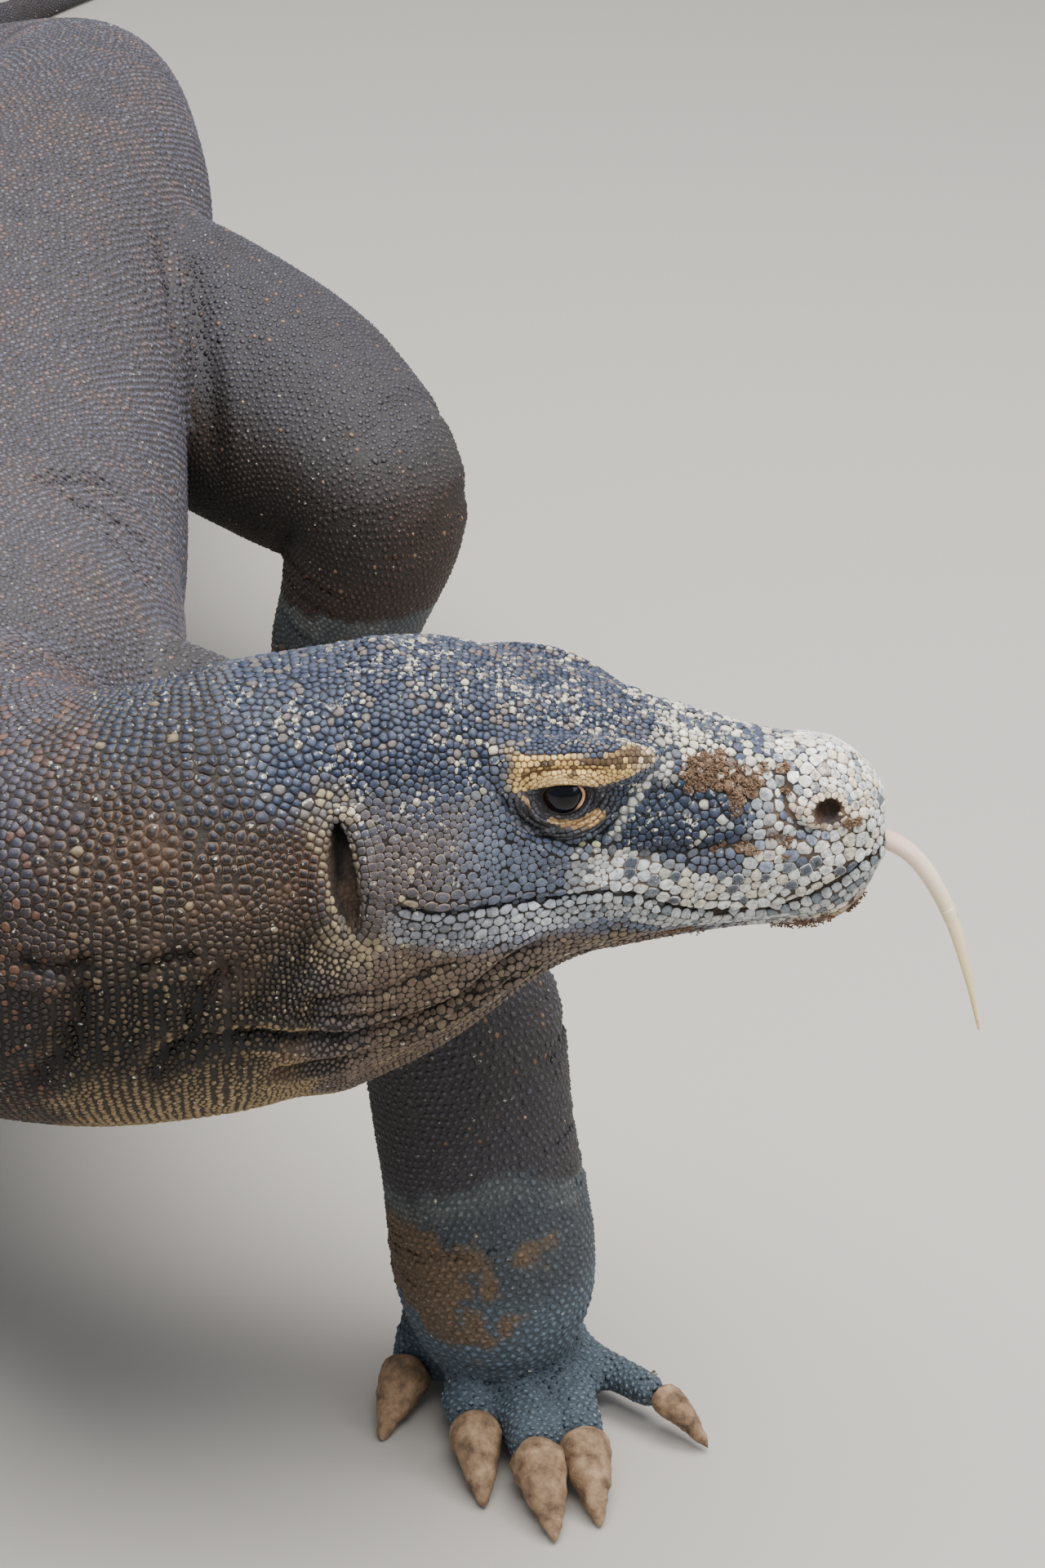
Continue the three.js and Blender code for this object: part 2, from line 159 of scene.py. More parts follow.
LIGHTS = {
    # place, aim, size, watts, colour
    "panel_above": ((0.25, -1.0, 2.6), (0.0, -0.8, 0.2), 2.6, 195, (1.0, 0.985, 0.96)),
    "panel_side": ((2.2, -1.9, 1.5), (0.1, -0.9, 0.25), 1.4, 20, (0.93, 0.96, 1.0)),
}
for light_name, (place, aim, size, watts, tint) in LIGHTS.items():
    light_data = bpy.data.lights.new(light_name, "AREA")
    light_data.size = size
    light_data.energy = watts
    light_data.color = tint
    lamp = placed(light_name, light_data)
    lamp.location = place
    lamp.rotation_euler = (Vector(aim) - Vector(place)).to_track_quat("-Z", "Y").to_euler()

sky = bpy.data.worlds.new("soft_sky")
sky.use_nodes = True
sky_inputs = sky.node_tree.nodes["Background"].inputs
sky_inputs["Color"].default_value = (0.80, 0.86, 0.95, 1)
sky_inputs["Strength"].default_value = 0.55
bpy.context.scene.world = sky

FLOOR_REACH = 9.0
corners = [(x * FLOOR_REACH, y * FLOOR_REACH, 0) for x, y in ((-1, -1), (1, -1), (1, 1), (-1, 1))]
floor_mesh = new_mesh("floor", corners, [(0, 1, 2, 3)])
floor = placed("floor", floor_mesh)
floor_paint = bpy.data.materials.new("floor_pale")
floor_paint.use_nodes = True
floor_inputs = floor_paint.node_tree.nodes["Principled BSDF"].inputs
floor_inputs["Base Color"].default_value = (0.44, 0.41, 0.375, 1)
floor_inputs["Roughness"].default_value = 0.9
floor_mesh.materials.append(floor_paint)
print("camera, two panels of light, sky and floor")

# %% [markdown]
# ## The body's form
# The trunk, neck, head and tail are one long form, so they are drawn as one row of sections, each a rounded
# square seen from the snout. Head sections stand at a distance back from the snout; the others at a place
# on the floor plan. Between them a smooth curve is read, so that no section shows as an edge.
# %% Sections of the body
COAT = 2.0  # depth of the coat of scales: the skin lies this far inside the solids
SNOUT_X, HEAD_Y = 394.0, -680.0
HEAD_SECTIONS = rows("""
0 8 306 293 2.4
2.5 13 313 282 2.4
7 18 319.5 271 2.4
14 22 326 261 2.4
25 25.5 331 256 2.4
42 28 333 256 2.4
60 31 337 255 2.4
78 35.5 342 253 2.4
96 40 348 251 2.5
113 43.5 354 247 2.5
130 47.5 359 237 2.4
148 53.5 364 221 2.3
166 59.5 367 208 2.3
183 63.5 367 198 2.2
200 65 364 190 2.2
""")  # back from the snout, half width, top, bottom, squareness
TRUNK_SECTIONS = rows("""
168 -683 272 66 72 88 81 2.2
140 -690 268 66 78 88 78 2.2
112 -688 264 66 83 86 78 2.2
82 -675 261 66 87 84 80 2.2
60 -652 259 67 91 84 86 2.2
48 -622 257 71 94 87 94 2.2
44 -588 254 79 97 91 99 2.2
38 -545 250 90 101 94 100 2.2
24 -490 242 100 107 94 100 2.2
2 -420 230 115 120 97 105 2.2
-18 -345 221 125 131 101 110 2.3
-30 -255 217 131 137 103 110 2.3
-33 -160 220 127 133 104 102 2.3
-26 -60 229 114 118 101 90 2.2
-14 40 238 103 103 95 83 2.2
-7 135 241 93 93 88 78 2.2
-7 235 238 79 79 78 71 2.2
-16 345 226 68 68 70 66 2.2
-44 465 202 57 57 61 58 2.2
-90 590 171 47 47 52 50 2.2
-140 720 135 38 38 45 43 2.2
-184 850 99 31 31 39.5 37.5 2.2
-216 975 67 24.5 24.5 33.5 32.5 2.2
-230 1095 42 19.5 19.5 27.5 28 2.2
-220 1205 26 15 15 21.5 23.5 2.2
-190 1305 17 11.5 11.5 16 18.5 2.2
-146 1390 11 8 8 11 13 2.2
-100 1455 7 5 5 7 8.5 2.2
-66 1492 4.6 3.2 3.2 4 5.5 2.2
""")  # x, y, z, reach left, right, up and down, squareness
back, half, top, bottom, square = HEAD_SECTIONS.T
head_rows = np.column_stack((
    SNOUT_X - back, np.full(len(back), HEAD_Y), (top + bottom) / 2, half, half,
    (top - bottom) / 2, (top - bottom) / 2, square,
))
BODY = np.vstack((head_rows, TRUNK_SECTIONS))
BODY_KNOTS = np.r_[0, np.cumsum(np.hypot(*np.diff(BODY[:, :2], axis=0).T))]
BODY_LENGTH = BODY_KNOTS[-1]
NECK_START, SHOULDER, TAIL_START = 200.0, 395.0, 1330.0  # along the body


def body_surface(at, angle, inset=COAT):
    """Points on the body: at is the distance along it, angle goes from its right side over the top."""
    row = cubic(BODY_KNOTS, BODY, at)
    after = cubic(BODY_KNOTS, BODY, np.minimum(at + 3, BODY_LENGTH))
    before = cubic(BODY_KNOTS, BODY, np.maximum(at - 3, 0))
    along = unit((after - before)[:, :2])
    side = power(np.cos(angle), 2 / row[:, 7])
    rise = power(np.sin(angle), 2 / row[:, 7])
    across = side * (np.where(side > 0, row[:, 4], row[:, 3]) - inset)
    height = rise * (np.where(rise > 0, row[:, 5], row[:, 6]) - inset)
    x = row[:, 0] - along[:, 1] * across
    y = row[:, 1] + along[:, 0] * across
    return np.column_stack((x, y, row[:, 2] + height))


print("body is", round(BODY_LENGTH), "mm along its middle")

# %% [markdown]
# ## Legs, palms and toes
# A leg is a tube of flesh through its joints, thick at the shoulder and slim at the wrist. Palms are low
# arches that follow the floor, and each toe is a short bent tube that ends where its claw begins. The same
# tables place the claws and, later, the rows of scales.
# %% Tables of the legs
LEGS = {
    "fore_left": (rows("""
70 -545 262 52
124 -556 250 53
180 -584 217 49
229 -606 180 44
241 -620 122 42
249 -632 56 42"""), 20, 1),
    "fore_right": (rows("""
0 -545 260 52
-62 -556 246 53
-122 -570 208 49
-172 -590 168 43
-176 -628 114 41
-178 -662 56 41"""), 14, -1),
    "hind_left": (rows("""
20 40 224 74
84 -4 209 74
144 -52 190 68
183 -100 170 51
172 -92 114 42
158 -68 62 36"""), 16, 1),
    "hind_right": (rows("""
-50 50 224 74
-112 42 211 74
-174 20 191 66
-222 -6 170 50
-232 50 118 42
-240 98 64 35"""), 24, -1),
}  # joints with the flesh's radius, the foot's heading in degrees, and which side is outward
PALMS = {
    "fore": rows("""
-27 -38 38 57
-14 -28 40 50
4 -25 41 41
20 -25 39 33
32 -20 31 25"""),
    "hind": rows("""
-26 -31 31 66
-4 -27 30 54
22 -25 28 42
48 -21 27 32
70 -15 22 25"""),
}  # forward, inner edge, outer edge, top
TOES = {
    "fore": rows("""
-21 -24 15 -55 9.8 31
20 -19 71 -30 9.8 36
31 0 100 -11 10.2 39
31 20 97 9 9.8 37
3 35 67 68 7 27"""),
    "hind": rows("""
36 -20 78 -50 8 31
58 -15 112 -29 8.8 35
66 0 136 -5 9.2 37
62 15 143 28 8.8 36
-2 20 42 66 7 28"""),
}  # root forward and outward, tip forward and outward, radius, length of the claw
HEEL_DEPTH, TOE_ARCH, CLAW_DROP, CLAW_GAP = 36, 9, 15, 0.4


def foot_place(leg, ahead, out, height):
    """A place in a foot's own directions: ahead of the wrist, outward from the body, and above the floor."""
    joints, degrees, outward = LEGS[leg]
    turn = math.radians(degrees)
    forward = np.array((outward * math.sin(turn), -math.cos(turn), 0))
    aside = np.array((outward * math.cos(turn), math.sin(turn), 0))
    wrist = np.array((joints[-1, 0], joints[-1, 1], 0))
    on_floor = wrist + np.multiply.outer(ahead, forward) + np.multiply.outer(out, aside)
    return on_floor + np.multiply.outer(height, (0, 0, 1))


def leg_stops(leg):
    joints = LEGS[leg][0]
    heel = foot_place(leg, -10, 0, joints[-1, 2] - HEEL_DEPTH)
    return np.vstack((joints, [*heel, joints[-1, 3] * 0.64]))


def toe_stops(leg, toe):
    """The toe's bent middle line and radius, and the claw's, which hooks down to the floor."""
    a0, o0, a1, o1, radius, claw = toe
    span = math.hypot(a1 - a0, o1 - o0)

    def stop(distance, height, size):
        share = distance / span
        return [*foot_place(leg, a0 + (a1 - a0) * share, o0 + (o1 - o0) * share, height), size]

    join = span - claw
    rise = radius - 1.2
    root = join + CLAW_GAP
    toe_line = [stop(-4, rise + 8, radius * 1.15), stop(join * 0.5, rise + TOE_ARCH, radius * 1.05),
                stop(join - 3, CLAW_DROP, radius), stop(join, CLAW_DROP, radius * 0.86)]
    claw_line = [stop(root, CLAW_DROP, radius * 0.74), stop(root + 3, CLAW_DROP, radius * 0.76),
                 stop(root + claw * 0.45, CLAW_DROP - 3, radius * 0.55),
                 stop(root + claw * 0.78, CLAW_DROP * 0.45, radius * 0.32),
                 stop(root + claw * 0.97, 2.1, 0.9)]
    return np.array(toe_line), np.array(claw_line)


# %% Surfaces of the limbs
class Tube:
    """A round limb along a smooth line, with a frame that turns as little as it can."""

    def __init__(self, stops, inset, step=2.0):
        self.inset = inset
        knots = walk_of(stops[:, :3], 0.5)
        fine = cubic(knots, stops, np.linspace(0, knots[-1], 400))
        walk = walk_of(fine[:, :3])
        self.length = walk[-1]
        self.marks = np.linspace(0, self.length, max(4, int(self.length / step)))
        self.line = np.column_stack([np.interp(self.marks, walk, fine[:, i]) for i in range(4)])
        self.along = unit(np.gradient(self.line[:, :3], axis=0))
        side = np.cross(self.along[0], (0.0, 0.0, 1.0))
        sides = []
        for along in self.along:
            side = unit(side - along * np.dot(side, along))
            sides.append(side)
        self.side = np.array(sides)

    def read(self, table, at):
        return np.column_stack([np.interp(at, self.marks, table[:, i]) for i in range(table.shape[1])])

    def surface(self, at, angle):
        line = self.read(self.line, at)
        side = unit(self.read(self.side, at))
        over = np.cross(side, unit(self.read(self.along, at)))
        radius = (line[:, 3] - self.inset)[:, None]
        return line[:, :3] + radius * (np.cos(angle)[:, None] * side + np.sin(angle)[:, None] * over)


def palm_surface(leg, inset):
    sections = PALMS[leg[:4]]

    def surface(at, angle):
        ahead, inner, outer, top = cubic(sections[:, 0], sections, at).T
        inner, outer, top = inner + inset, outer - inset, top - inset
        out = (inner + outer + power(np.cos(angle), 0.9) * (outer - inner)) / 2
        height = top / 2 - 1 + power(np.sin(angle), 0.85) * (top + 2) / 2
        return foot_place(leg, ahead, out, height)

    return surface


FOOT_COAT = 1.3
TOE_COAT = -0.4  # a toe is melted thinner later, so it starts thicker
limbs = {leg: Tube(leg_stops(leg), COAT) for leg in LEGS}
toes = {(leg, i): Tube(toe_stops(leg, toe)[0], TOE_COAT, 1.0)
        for leg in LEGS for i, toe in enumerate(TOES[leg[:4]])}
print(len(limbs), "legs and", len(toes), "toes")

# %% [markdown]
# ## One skin from many forms
# Body, legs, palms and toes are closed forms that run into each other. A voxel remesh melts them into one
# skin, as clay would be pressed together. It is done fine enough for the toes, and the seams where the legs
# leave the trunk are then smoothed so that they read as stretched skin.
# %% Melt the forms together


def grid_mesh(name, shells):
    """A mesh of closed tubes; each shell is an array of rings of points."""
    points, faces, base = [], [], 0
    for rings in shells:
        count, sides = rings.shape[:2]
        for i in range(count - 1):
            for k in range(sides):
                j = (k + 1) % sides
                faces.append((base + i * sides + k, base + i * sides + j,
                              base + (i + 1) * sides + j, base + (i + 1) * sides + k))
        faces.append(tuple(base + k for k in reversed(range(sides))))
        faces.append(tuple(base + (count - 1) * sides + k for k in range(sides)))
        points.append(rings.reshape(-1, 3))
        base += count * sides
    return new_mesh(name, np.vstack(points), faces)


def rings_of(surface, marks, sides):
    angle = np.tile(np.linspace(0, 2 * math.pi, sides, endpoint=False), len(marks))
    return surface(np.repeat(marks, sides), angle).reshape(len(marks), sides, 3)


body_marks = np.r_[np.arange(2.2, 210, 2.5), np.arange(210, BODY_LENGTH, 5), BODY_LENGTH - 0.5]
shells = [rings_of(body_surface, body_marks, 96)]
for leg in LEGS:
    shells.append(rings_of(limbs[leg].surface, limbs[leg].marks[::2], 48))
    sections = PALMS[leg[:4]]
    palm_marks = np.linspace(sections[0, 0], sections[-1, 0], 30)
    shells.append(rings_of(palm_surface(leg, FOOT_COAT), palm_marks, 40))
for toe in toes.values():
    shells.append(rings_of(toe.surface, toe.marks, 24))
BROW = rows("""
151 33 343 1
148 34 342.5 4
140 36 341.2 6.8
128 36.4 341 8
115 35.6 340.6 8.5
102 33.6 339.6 8.1
93 30 338 6.6
87 27 336.5 4.4
85 26 336 1""")  # back, out, height, radius
angle = np.linspace(0, 2 * math.pi, 24, endpoint=False)
for side in (1, -1):
    stations = cubic(BROW[:, 0][::-1], BROW[::-1], np.linspace(BROW[-1, 0], BROW[0, 0], 30))
    if side > 0:  # the left brow sits a little further back and higher, as the head is held turned
        rise = 3.6 * ease(stations[:, 0], 92, 132) - 1
        stations[:, 0] += 11
        stations[:, 2] += rise
    rings = []
    for back, out, height, girth in stations:
        across = HEAD_Y + side * (out + girth * np.cos(angle))
        rings.append(np.column_stack((np.full(24, SNOUT_X - back), across, height + girth * np.sin(angle))))
    shells.append(np.array(rings))
form_mesh = grid_mesh("form", shells)
skin = worked(form_mesh, "REMESH", mode="VOXEL", voxel_size=3.2)
print("melted skin:", len(skin.vertices), "points")


# %% Reading and moving the skin's points
def points_of(mesh):
    flat = np.empty(len(mesh.vertices) * 3)
    mesh.vertices.foreach_get("co", flat)
    return flat.reshape(-1, 3)


def set_points(mesh, points):
    mesh.vertices.foreach_set("co", points.astype(np.float32).ravel())
    mesh.update()


def normals_of(mesh):
    flat = np.empty(len(mesh.vertices) * 3, np.float32)
    mesh.vertex_normals.foreach_get("vector", flat)
    return flat.reshape(-1, 3).astype(float)


def edges_of(mesh):
    flat = np.empty(len(mesh.edges) * 2, np.int32)
    mesh.edges.foreach_get("vertices", flat)
    return flat.reshape(-1, 2)


def relax(mesh, weight, turns):
    """Move each point towards the middle of its neighbours, weight saying how far."""
    points, edges = points_of(mesh), edges_of(mesh)
    count = np.bincount(edges.ravel(), minlength=len(points))[:, None]
    weight = np.broadcast_to(weight, len(points))[:, None]
    for _ in range(turns):
        middle = np.empty_like(points)
        for i in range(3):
            middle[:, i] = (np.bincount(edges[:, 0], points[edges[:, 1], i], len(points))
                            + np.bincount(edges[:, 1], points[edges[:, 0], i], len(points)))
        points += (middle / np.maximum(count, 1) - points) * weight
    set_points(mesh, points)


def refine(mesh, chosen):
    """Halve the faces whose points are all chosen."""
    shape = bmesh.new()
    shape.from_mesh(mesh)
    shape.verts.ensure_lookup_table()
    edges = [edge for edge in shape.edges if chosen[edge.verts[0].index] and chosen[edge.verts[1].index]]
    bmesh.ops.subdivide_edges(shape, edges=edges, cuts=1, use_grid_fill=True)
    shape.to_mesh(mesh)
    shape.free()
    mesh.update()


def head_place(points):
    """How far back from the snout, how far out from the middle, and how high."""
    return SNOUT_X - points[:, 0], np.abs(points[:, 1] - HEAD_Y), points[:, 2]


relax(skin, 0.5, 3)
joint_seams = np.zeros(len(skin.vertices))
for leg in LEGS:
    root = LEGS[leg][0][1, :3]
    reach = np.linalg.norm(points_of(skin) - root, axis=1)
    joint_seams = np.maximum(joint_seams, ease(reach, 125 if "hind" in leg else 100, 50))
relax(skin, 0.5 * joint_seams, 40)
b, o, z = head_place(points_of(skin))
on_head = (b < 232) & (o < 110) & (z > 175)
refine(skin, on_head)
relax(skin, 0.5 * ease(head_place(points_of(skin))[0], 236, 226), 2)
print("head refined:", len(skin.vertices), "points")

# %% [markdown]
# ## Sculpting the head
# A sculptor presses creases in and builds ridges up. Two tools do the same here: `crease` pushes the skin
# in along a drawn line and lets it swell a little on both sides, and `swell` raises or sinks a soft patch.
# Lines are drawn in side view, as distances back from the snout and heights, and then dropped onto the skin
# from the side.
# %% Sculpting tools


def near_line(points, line, reach):
    """Each point's distance to a line, and where along the line (0 to 1) it is nearest."""
    distance = np.full(len(points), 1e9)
    share = np.zeros(len(points))
    near = ((points > line.min(axis=0) - reach) & (points < line.max(axis=0) + reach)).all(axis=1)
    chosen = np.flatnonzero(near)
    p = points[chosen]
    best, where = np.full(len(chosen), 1e9), np.zeros(len(chosen))
    walk = walk_of(line)
    for i in range(len(line) - 1):
        step = line[i + 1] - line[i]
        t = np.clip((p - line[i]) @ step / max(step @ step, 1e-9), 0, 1)
        gap = np.linalg.norm(p - line[i] - t[:, None] * step, axis=1)
        closer = gap < best
        best[closer] = gap[closer]
        where[closer] = (walk[i] + t[closer] * np.linalg.norm(step)) / walk[-1]
    distance[chosen], share[chosen] = best, where
    return distance, share


def smooth_line(line, step=2.0):
    knots = walk_of(line)
    return cubic(knots, line, np.linspace(0, knots[-1], max(3, int(knots[-1] / step))))


class Clay:
    """The skin while it is worked: its points, its outward directions, and a way to find its surface."""

    def __init__(self, mesh):
        self.mesh = mesh
        self.look()

    def look(self):
        self.points = points_of(self.mesh)
        self.out = normals_of(self.mesh)
        faces = [tuple(face.vertices) for face in self.mesh.polygons]
        self.tree = BVHTree.FromPolygons([tuple(p) for p in self.points], faces)

    def settle(self):
        set_points(self.mesh, self.points)
        self.out = normals_of(self.mesh)

    def from_side(self, back, height, side):
        """The place on the head's side at a distance back and a height; side is 1 for left, -1 for right."""
        start = Vector((SNOUT_X - back, HEAD_Y + side * 160, height))
        hit = self.tree.ray_cast(start, Vector((0, -side, 0)))[0]
        if hit is None:
            hit = self.tree.find_nearest(Vector((SNOUT_X - back, HEAD_Y + side * 20, height)))[0]
        return np.array(hit)

    def side_line(self, line, side, step=2.0):
        return np.array([self.from_side(*spot, side) for spot in smooth_line(np.array(line, float), step)])

    def crease(self, line, width, depth, lip=0.25, taper=0.18):
        distance, share = near_line(self.points, line, width * 4)
        fade = ease(share, 0, taper) * ease(share, 1, 1 - taper) if taper else 1.0
        r = distance / width
        push = -np.exp(-r * r) + lip * np.exp(-(((r - 2.0) / 0.9) ** 2))
        self.points += self.out * (push * fade * depth)[:, None]

    def swell(self, centre, reach, amount):
        """Raise (or sink) a soft oval patch; reach is its half size along x, y and z."""
        r = np.linalg.norm((self.points - centre) / reach, axis=1)
        self.points += self.out * (amount * np.clip(1 - r * r, 0, 1) ** 2)[:, None]


clay = Clay(skin)
print("clay ready")

# %% [markdown]
# ## Features of the head
# Brow and lids, the bag under the eye, the hollow in front of it, the lips, the jaw muscle, the nostril and
# the ear all lie where they do on the animal. The larger forms come first; the mesh is then refined around
# the eyes and the nostrils, and the fine lines are pressed in.
# %% Large forms of the head
EYE_BACK, EYE_OUT, EYE_HEIGHT, EYE_RADIUS = 119.5, 33.5, 328.5, 10.0
SIDES = (1, -1)
MOUTH = [(3, 293), (9, 290.6), (17, 285.2), (27, 279.8), (41, 274.8), (55, 273.2), (69, 275), (80, 279.2),
         (88, 284.2), (96, 288), (105, 289.4), (122, 289), (134, 289.6), (146, 290.4), (160, 292), (176, 296)]
LIP_GROOVE = [(14, 307), (31, 305.5), (46, 304), (62, 303), (78, 303), (92, 303), (104, 301)]
BROW_RIDGE = [(148, 342), (141, 345), (131, 346.5), (117, 347), (103, 346), (94, 344)]
EAR_SLIT = [(199, 324), (198.3, 317), (197.6, 309), (196.4, 301), (195, 294), (194, 287)]
NASAL_FOLD = [(42.5, 325), (40.5, 319.5), (39.5, 315), (36.5, 310.5), (32.5, 306.6), (27, 303.6)]
NOSTRIL, NOSTRIL_REACH = (24.5, 312.5), (4.9, 4.4)
JAW_EDGE = [(20, 266), (45, 263), (72, 262), (104, 260), (131, 248), (150, 238)]


def eye_centre(side):
    return np.array((SNOUT_X - EYE_BACK, HEAD_Y + side * EYE_OUT, EYE_HEIGHT))


SWELLS = (
    # back, height, half size along x, y and z, and how much
    (166, 303, (34, 40, 36), 4.0),  # jaw muscle
    (150, 268, (30, 30, 22), 2.0),
    (182, 345, (26, 26, 18), 2.0),  # temple
    (76, 322, (26, 16, 12), -3.0),  # hollow in front of the eye
    (46, 318, (18, 16, 12), -1.2),
    (24, 316, (15, 14, 13), 1.6),  # nose
    (52, 291, (52, 16, 11), 1.6),  # upper lip
    (60, 266, (60, 16, 9), -1.2),  # under the lower lip
    (112, 306, (20, 16, 9), 1.2),
    (150, 320, (16, 16, 16), -1.6),  # behind the eye
    (206, 305, (12, 20, 34), 2.4),  # behind the ear
    (188, 268, (22, 22, 16), 1.6),
)
for side in SIDES:
    for back, height, reach, amount in SWELLS:
        clay.swell(clay.from_side(back, height, side), reach, amount)
clay.swell(np.array((SNOUT_X - 188, HEAD_Y + 6, 365)), (13, 15, 14), 3.4)  # a knob on the nape
clay.swell(np.array((SNOUT_X - 72, HEAD_Y, 341)), (34, 13, 16), -1.6)  # groove along the nose
clay.swell(np.array((SNOUT_X - 128, HEAD_Y, 358)), (34, 20, 14), -2.0)  # between the brows
clay.swell(np.array((SNOUT_X - 20, HEAD_Y, 328)), (22, 18, 14), 1.5)
clay.settle()
for side in SIDES:
    clay.look()
    ridge = clay.side_line(BROW_RIDGE, side)
    distance, share = near_line(clay.points, ridge, 30)
    lift = np.exp(-((distance / 6.5) ** 2)) * ease(share, 0, 0.25) * ease(share, 1, 0.75)
    outward = np.array((0, side * 0.9, 0.3))
    clay.points += outward * (lift * 1.2)[:, None]
clay.settle()

# %% Refine where the fine forms are
b, _, z = head_place(clay.points)
fine = np.zeros(len(b), bool)
for side in SIDES:
    fine |= np.linalg.norm((clay.points - eye_centre(side)) / (27, 22, 22), axis=1) < 1
fine |= (b < 40) & (z > 296)
refine(skin, fine)
clay.look()
fine = np.zeros(len(clay.points), bool)
for side in SIDES:
    fine |= np.linalg.norm((clay.points - eye_centre(side)) / (15, 22, 14), axis=1) < 1
refine(skin, fine)
clay.look()
print("refined:", len(clay.points), "points")


# %% Mouth, nostrils and ears
def slit_width(share, ends, more):
    """Half the width of an ear's slit along its length: least at its ends, and more in its middle."""
    return ends + more * np.clip(4 * share * (1 - share), 0, 1) ** 0.8


nostrils, ears, mouths = {}, {}, {}
for side in SIDES:
    mouths[side] = clay.side_line(MOUTH, side)
    nostrils[side] = clay.from_side(*NOSTRIL, side)
    ears[side] = clay.side_line(EAR_SLIT, side)
for side in SIDES:
    clay.crease(mouths[side], 1.5, 2.2, lip=0.35, taper=0.0)
    clay.crease(clay.side_line(LIP_GROOVE, side), 2.0, 1.3)
    clay.crease(clay.side_line(JAW_EDGE, side), 4.0, 1.2, lip=0.3)
    clay.crease(clay.side_line([(176, 296), (190, 300)], side), 2, 0.8)
    clay.crease(clay.side_line(NASAL_FOLD, side), 2.0, 2.3, lip=0.35)
clay.settle()
for side in SIDES:
    inward = np.array((0.12, -side, -0.10))
    spot = (clay.points - nostrils[side]) / (1, 3, 1)
    ahead, higher = spot[:, 0] * 0.97 + spot[:, 2] * 0.24, spot[:, 2] * 0.97 - spot[:, 0] * 0.24
    turned = np.column_stack((ahead, spot[:, 1], higher))
    r = np.linalg.norm(turned / (NOSTRIL_REACH[0], 4.5, NOSTRIL_REACH[1]), axis=1)
    pit = ease(r, 1.08, 0.62) * (clay.points[:, 1] * side > HEAD_Y * side)
    clay.points += inward * (pit * 5.5)[:, None]
    rim = np.exp(-(((r - 1.35) / 0.28) ** 2)) * (r < 2.5)
    clay.points += clay.out * (rim * 0.7)[:, None]
    distance, share = near_line(clay.points, ears[side], 30)
    half_width = slit_width(share, 1.0, 3.9)
    slit = ease(distance, half_width + 1.6, half_width - 1.4)
    clay.points += np.array((0.1, -side, 0)) * (slit * 8.5)[:, None]
    rim = np.exp(-(((distance - half_width - 4.5) / 3.0) ** 2))
    clay.points += clay.out * (rim * 1.6)[:, None]
clay.settle()

# %% [markdown]
# ## The eyes and their lids
# A lid is skin that lies on the ball. Skin near the ball is moved out from the ball's centre until it
# clears it by the lid's thickness, except inside the almond of the opening, where it is drawn back behind
# the ball. Folds then run round the eye: a thick roll along the upper lid, a shelf for the brow above it,
# and the bag below.
# %% Lids and folds round the eyes
OPENING_BACK, OPENING_HEIGHT = 7.3, 6.4  # half the opening's length and height
UPPER_SHARE = 0.96  # the opening is flatter above
ALMOND = 1.9  # 2 would make the opening an oval; less makes its corners sharper
LID = 1.3


def almond(points, side):
    """1 on the edge of the eye's opening, less inside it."""
    spot = points - eye_centre(side)
    back = -spot[:, 0] - 0.4
    height = spot[:, 2] - 0.4 + 0.10 * back
    tall = np.where(height > 0, OPENING_HEIGHT * UPPER_SHARE, OPENING_HEIGHT)
    return (np.abs(back / OPENING_BACK) ** ALMOND + np.abs(height / tall) ** ALMOND) ** (1 / ALMOND)


UPPER_LID = [(134.5, 330), (131, 333.6), (125.5, 336.2), (119, 337), (112.5, 336.6), (107, 334),
             (103.5, 329.5)]
LID_FOLD = [(137, 335.5), (131, 339.4), (124, 341.4), (116, 341.8), (108, 340.6), (101, 336)]
BAG_FOLD = [(147, 342), (143.5, 333.5), (138.5, 325.5), (131.5, 318.6), (124, 312.6), (117, 309.8),
            (109, 310.6), (102, 315.6), (97.4, 322), (93.5, 329)]
LOWER_LID = [(132, 326), (127, 322.6), (120, 321), (113, 321.4), (107.5, 324)]


def bag_line(ring):
    """A wrinkle of the bag: part of a ring round the eye, from its rear corner to its front one."""
    turn = np.linspace(-0.35, math.pi + 0.12, 14)
    wide, tall = OPENING_BACK * (1 + (ring - 1) * 1.15), OPENING_HEIGHT * ring
    return [(EYE_BACK + 0.4 + wide * math.cos(t), EYE_HEIGHT + 0.6 - tall * math.sin(t)) for t in turn]


for side in SIDES:
    clay.look()
    clay.crease(clay.side_line(BAG_FOLD, side), 2.4, 2.6, lip=0.35, taper=0.22)
    clay.crease(clay.side_line(LID_FOLD, side), 1.3, 1.2, lip=0.4)
clay.settle()
for side in SIDES:
    clay.look()
    centre = eye_centre(side)
    spot = clay.points - centre
    distance = np.linalg.norm(spot, axis=1)
    outward = spot / distance[:, None]
    facing = spot[:, 1] * side > -2
    inside = almond(clay.points, side)
    lift = ease(distance, EYE_RADIUS + 7, EYE_RADIUS + 1) * facing
    shell = EYE_RADIUS + LID
    wanted = np.maximum(distance, shell)
    opening = ease(inside, 1.10, 0.92) * facing * (distance < 20)
    wanted = wanted * (1 - opening) + (EYE_RADIUS - 2.2) * opening
    pulled = np.where((distance < shell) | (opening > 0), wanted, distance)
    moved = facing & (distance < 20)
    clay.points = np.where(moved[:, None], centre + outward * pulled[:, None], clay.points)
clay.settle()
round_eyes = np.zeros(len(clay.points))
for side in SIDES:
    inside = almond(clay.points, side)
    near = np.linalg.norm(clay.points - eye_centre(side), axis=1) < 21
    round_eyes = np.maximum(round_eyes, near * ease(inside, 1.12, 1.3))
relax(skin, 0.4 * round_eyes, 3)
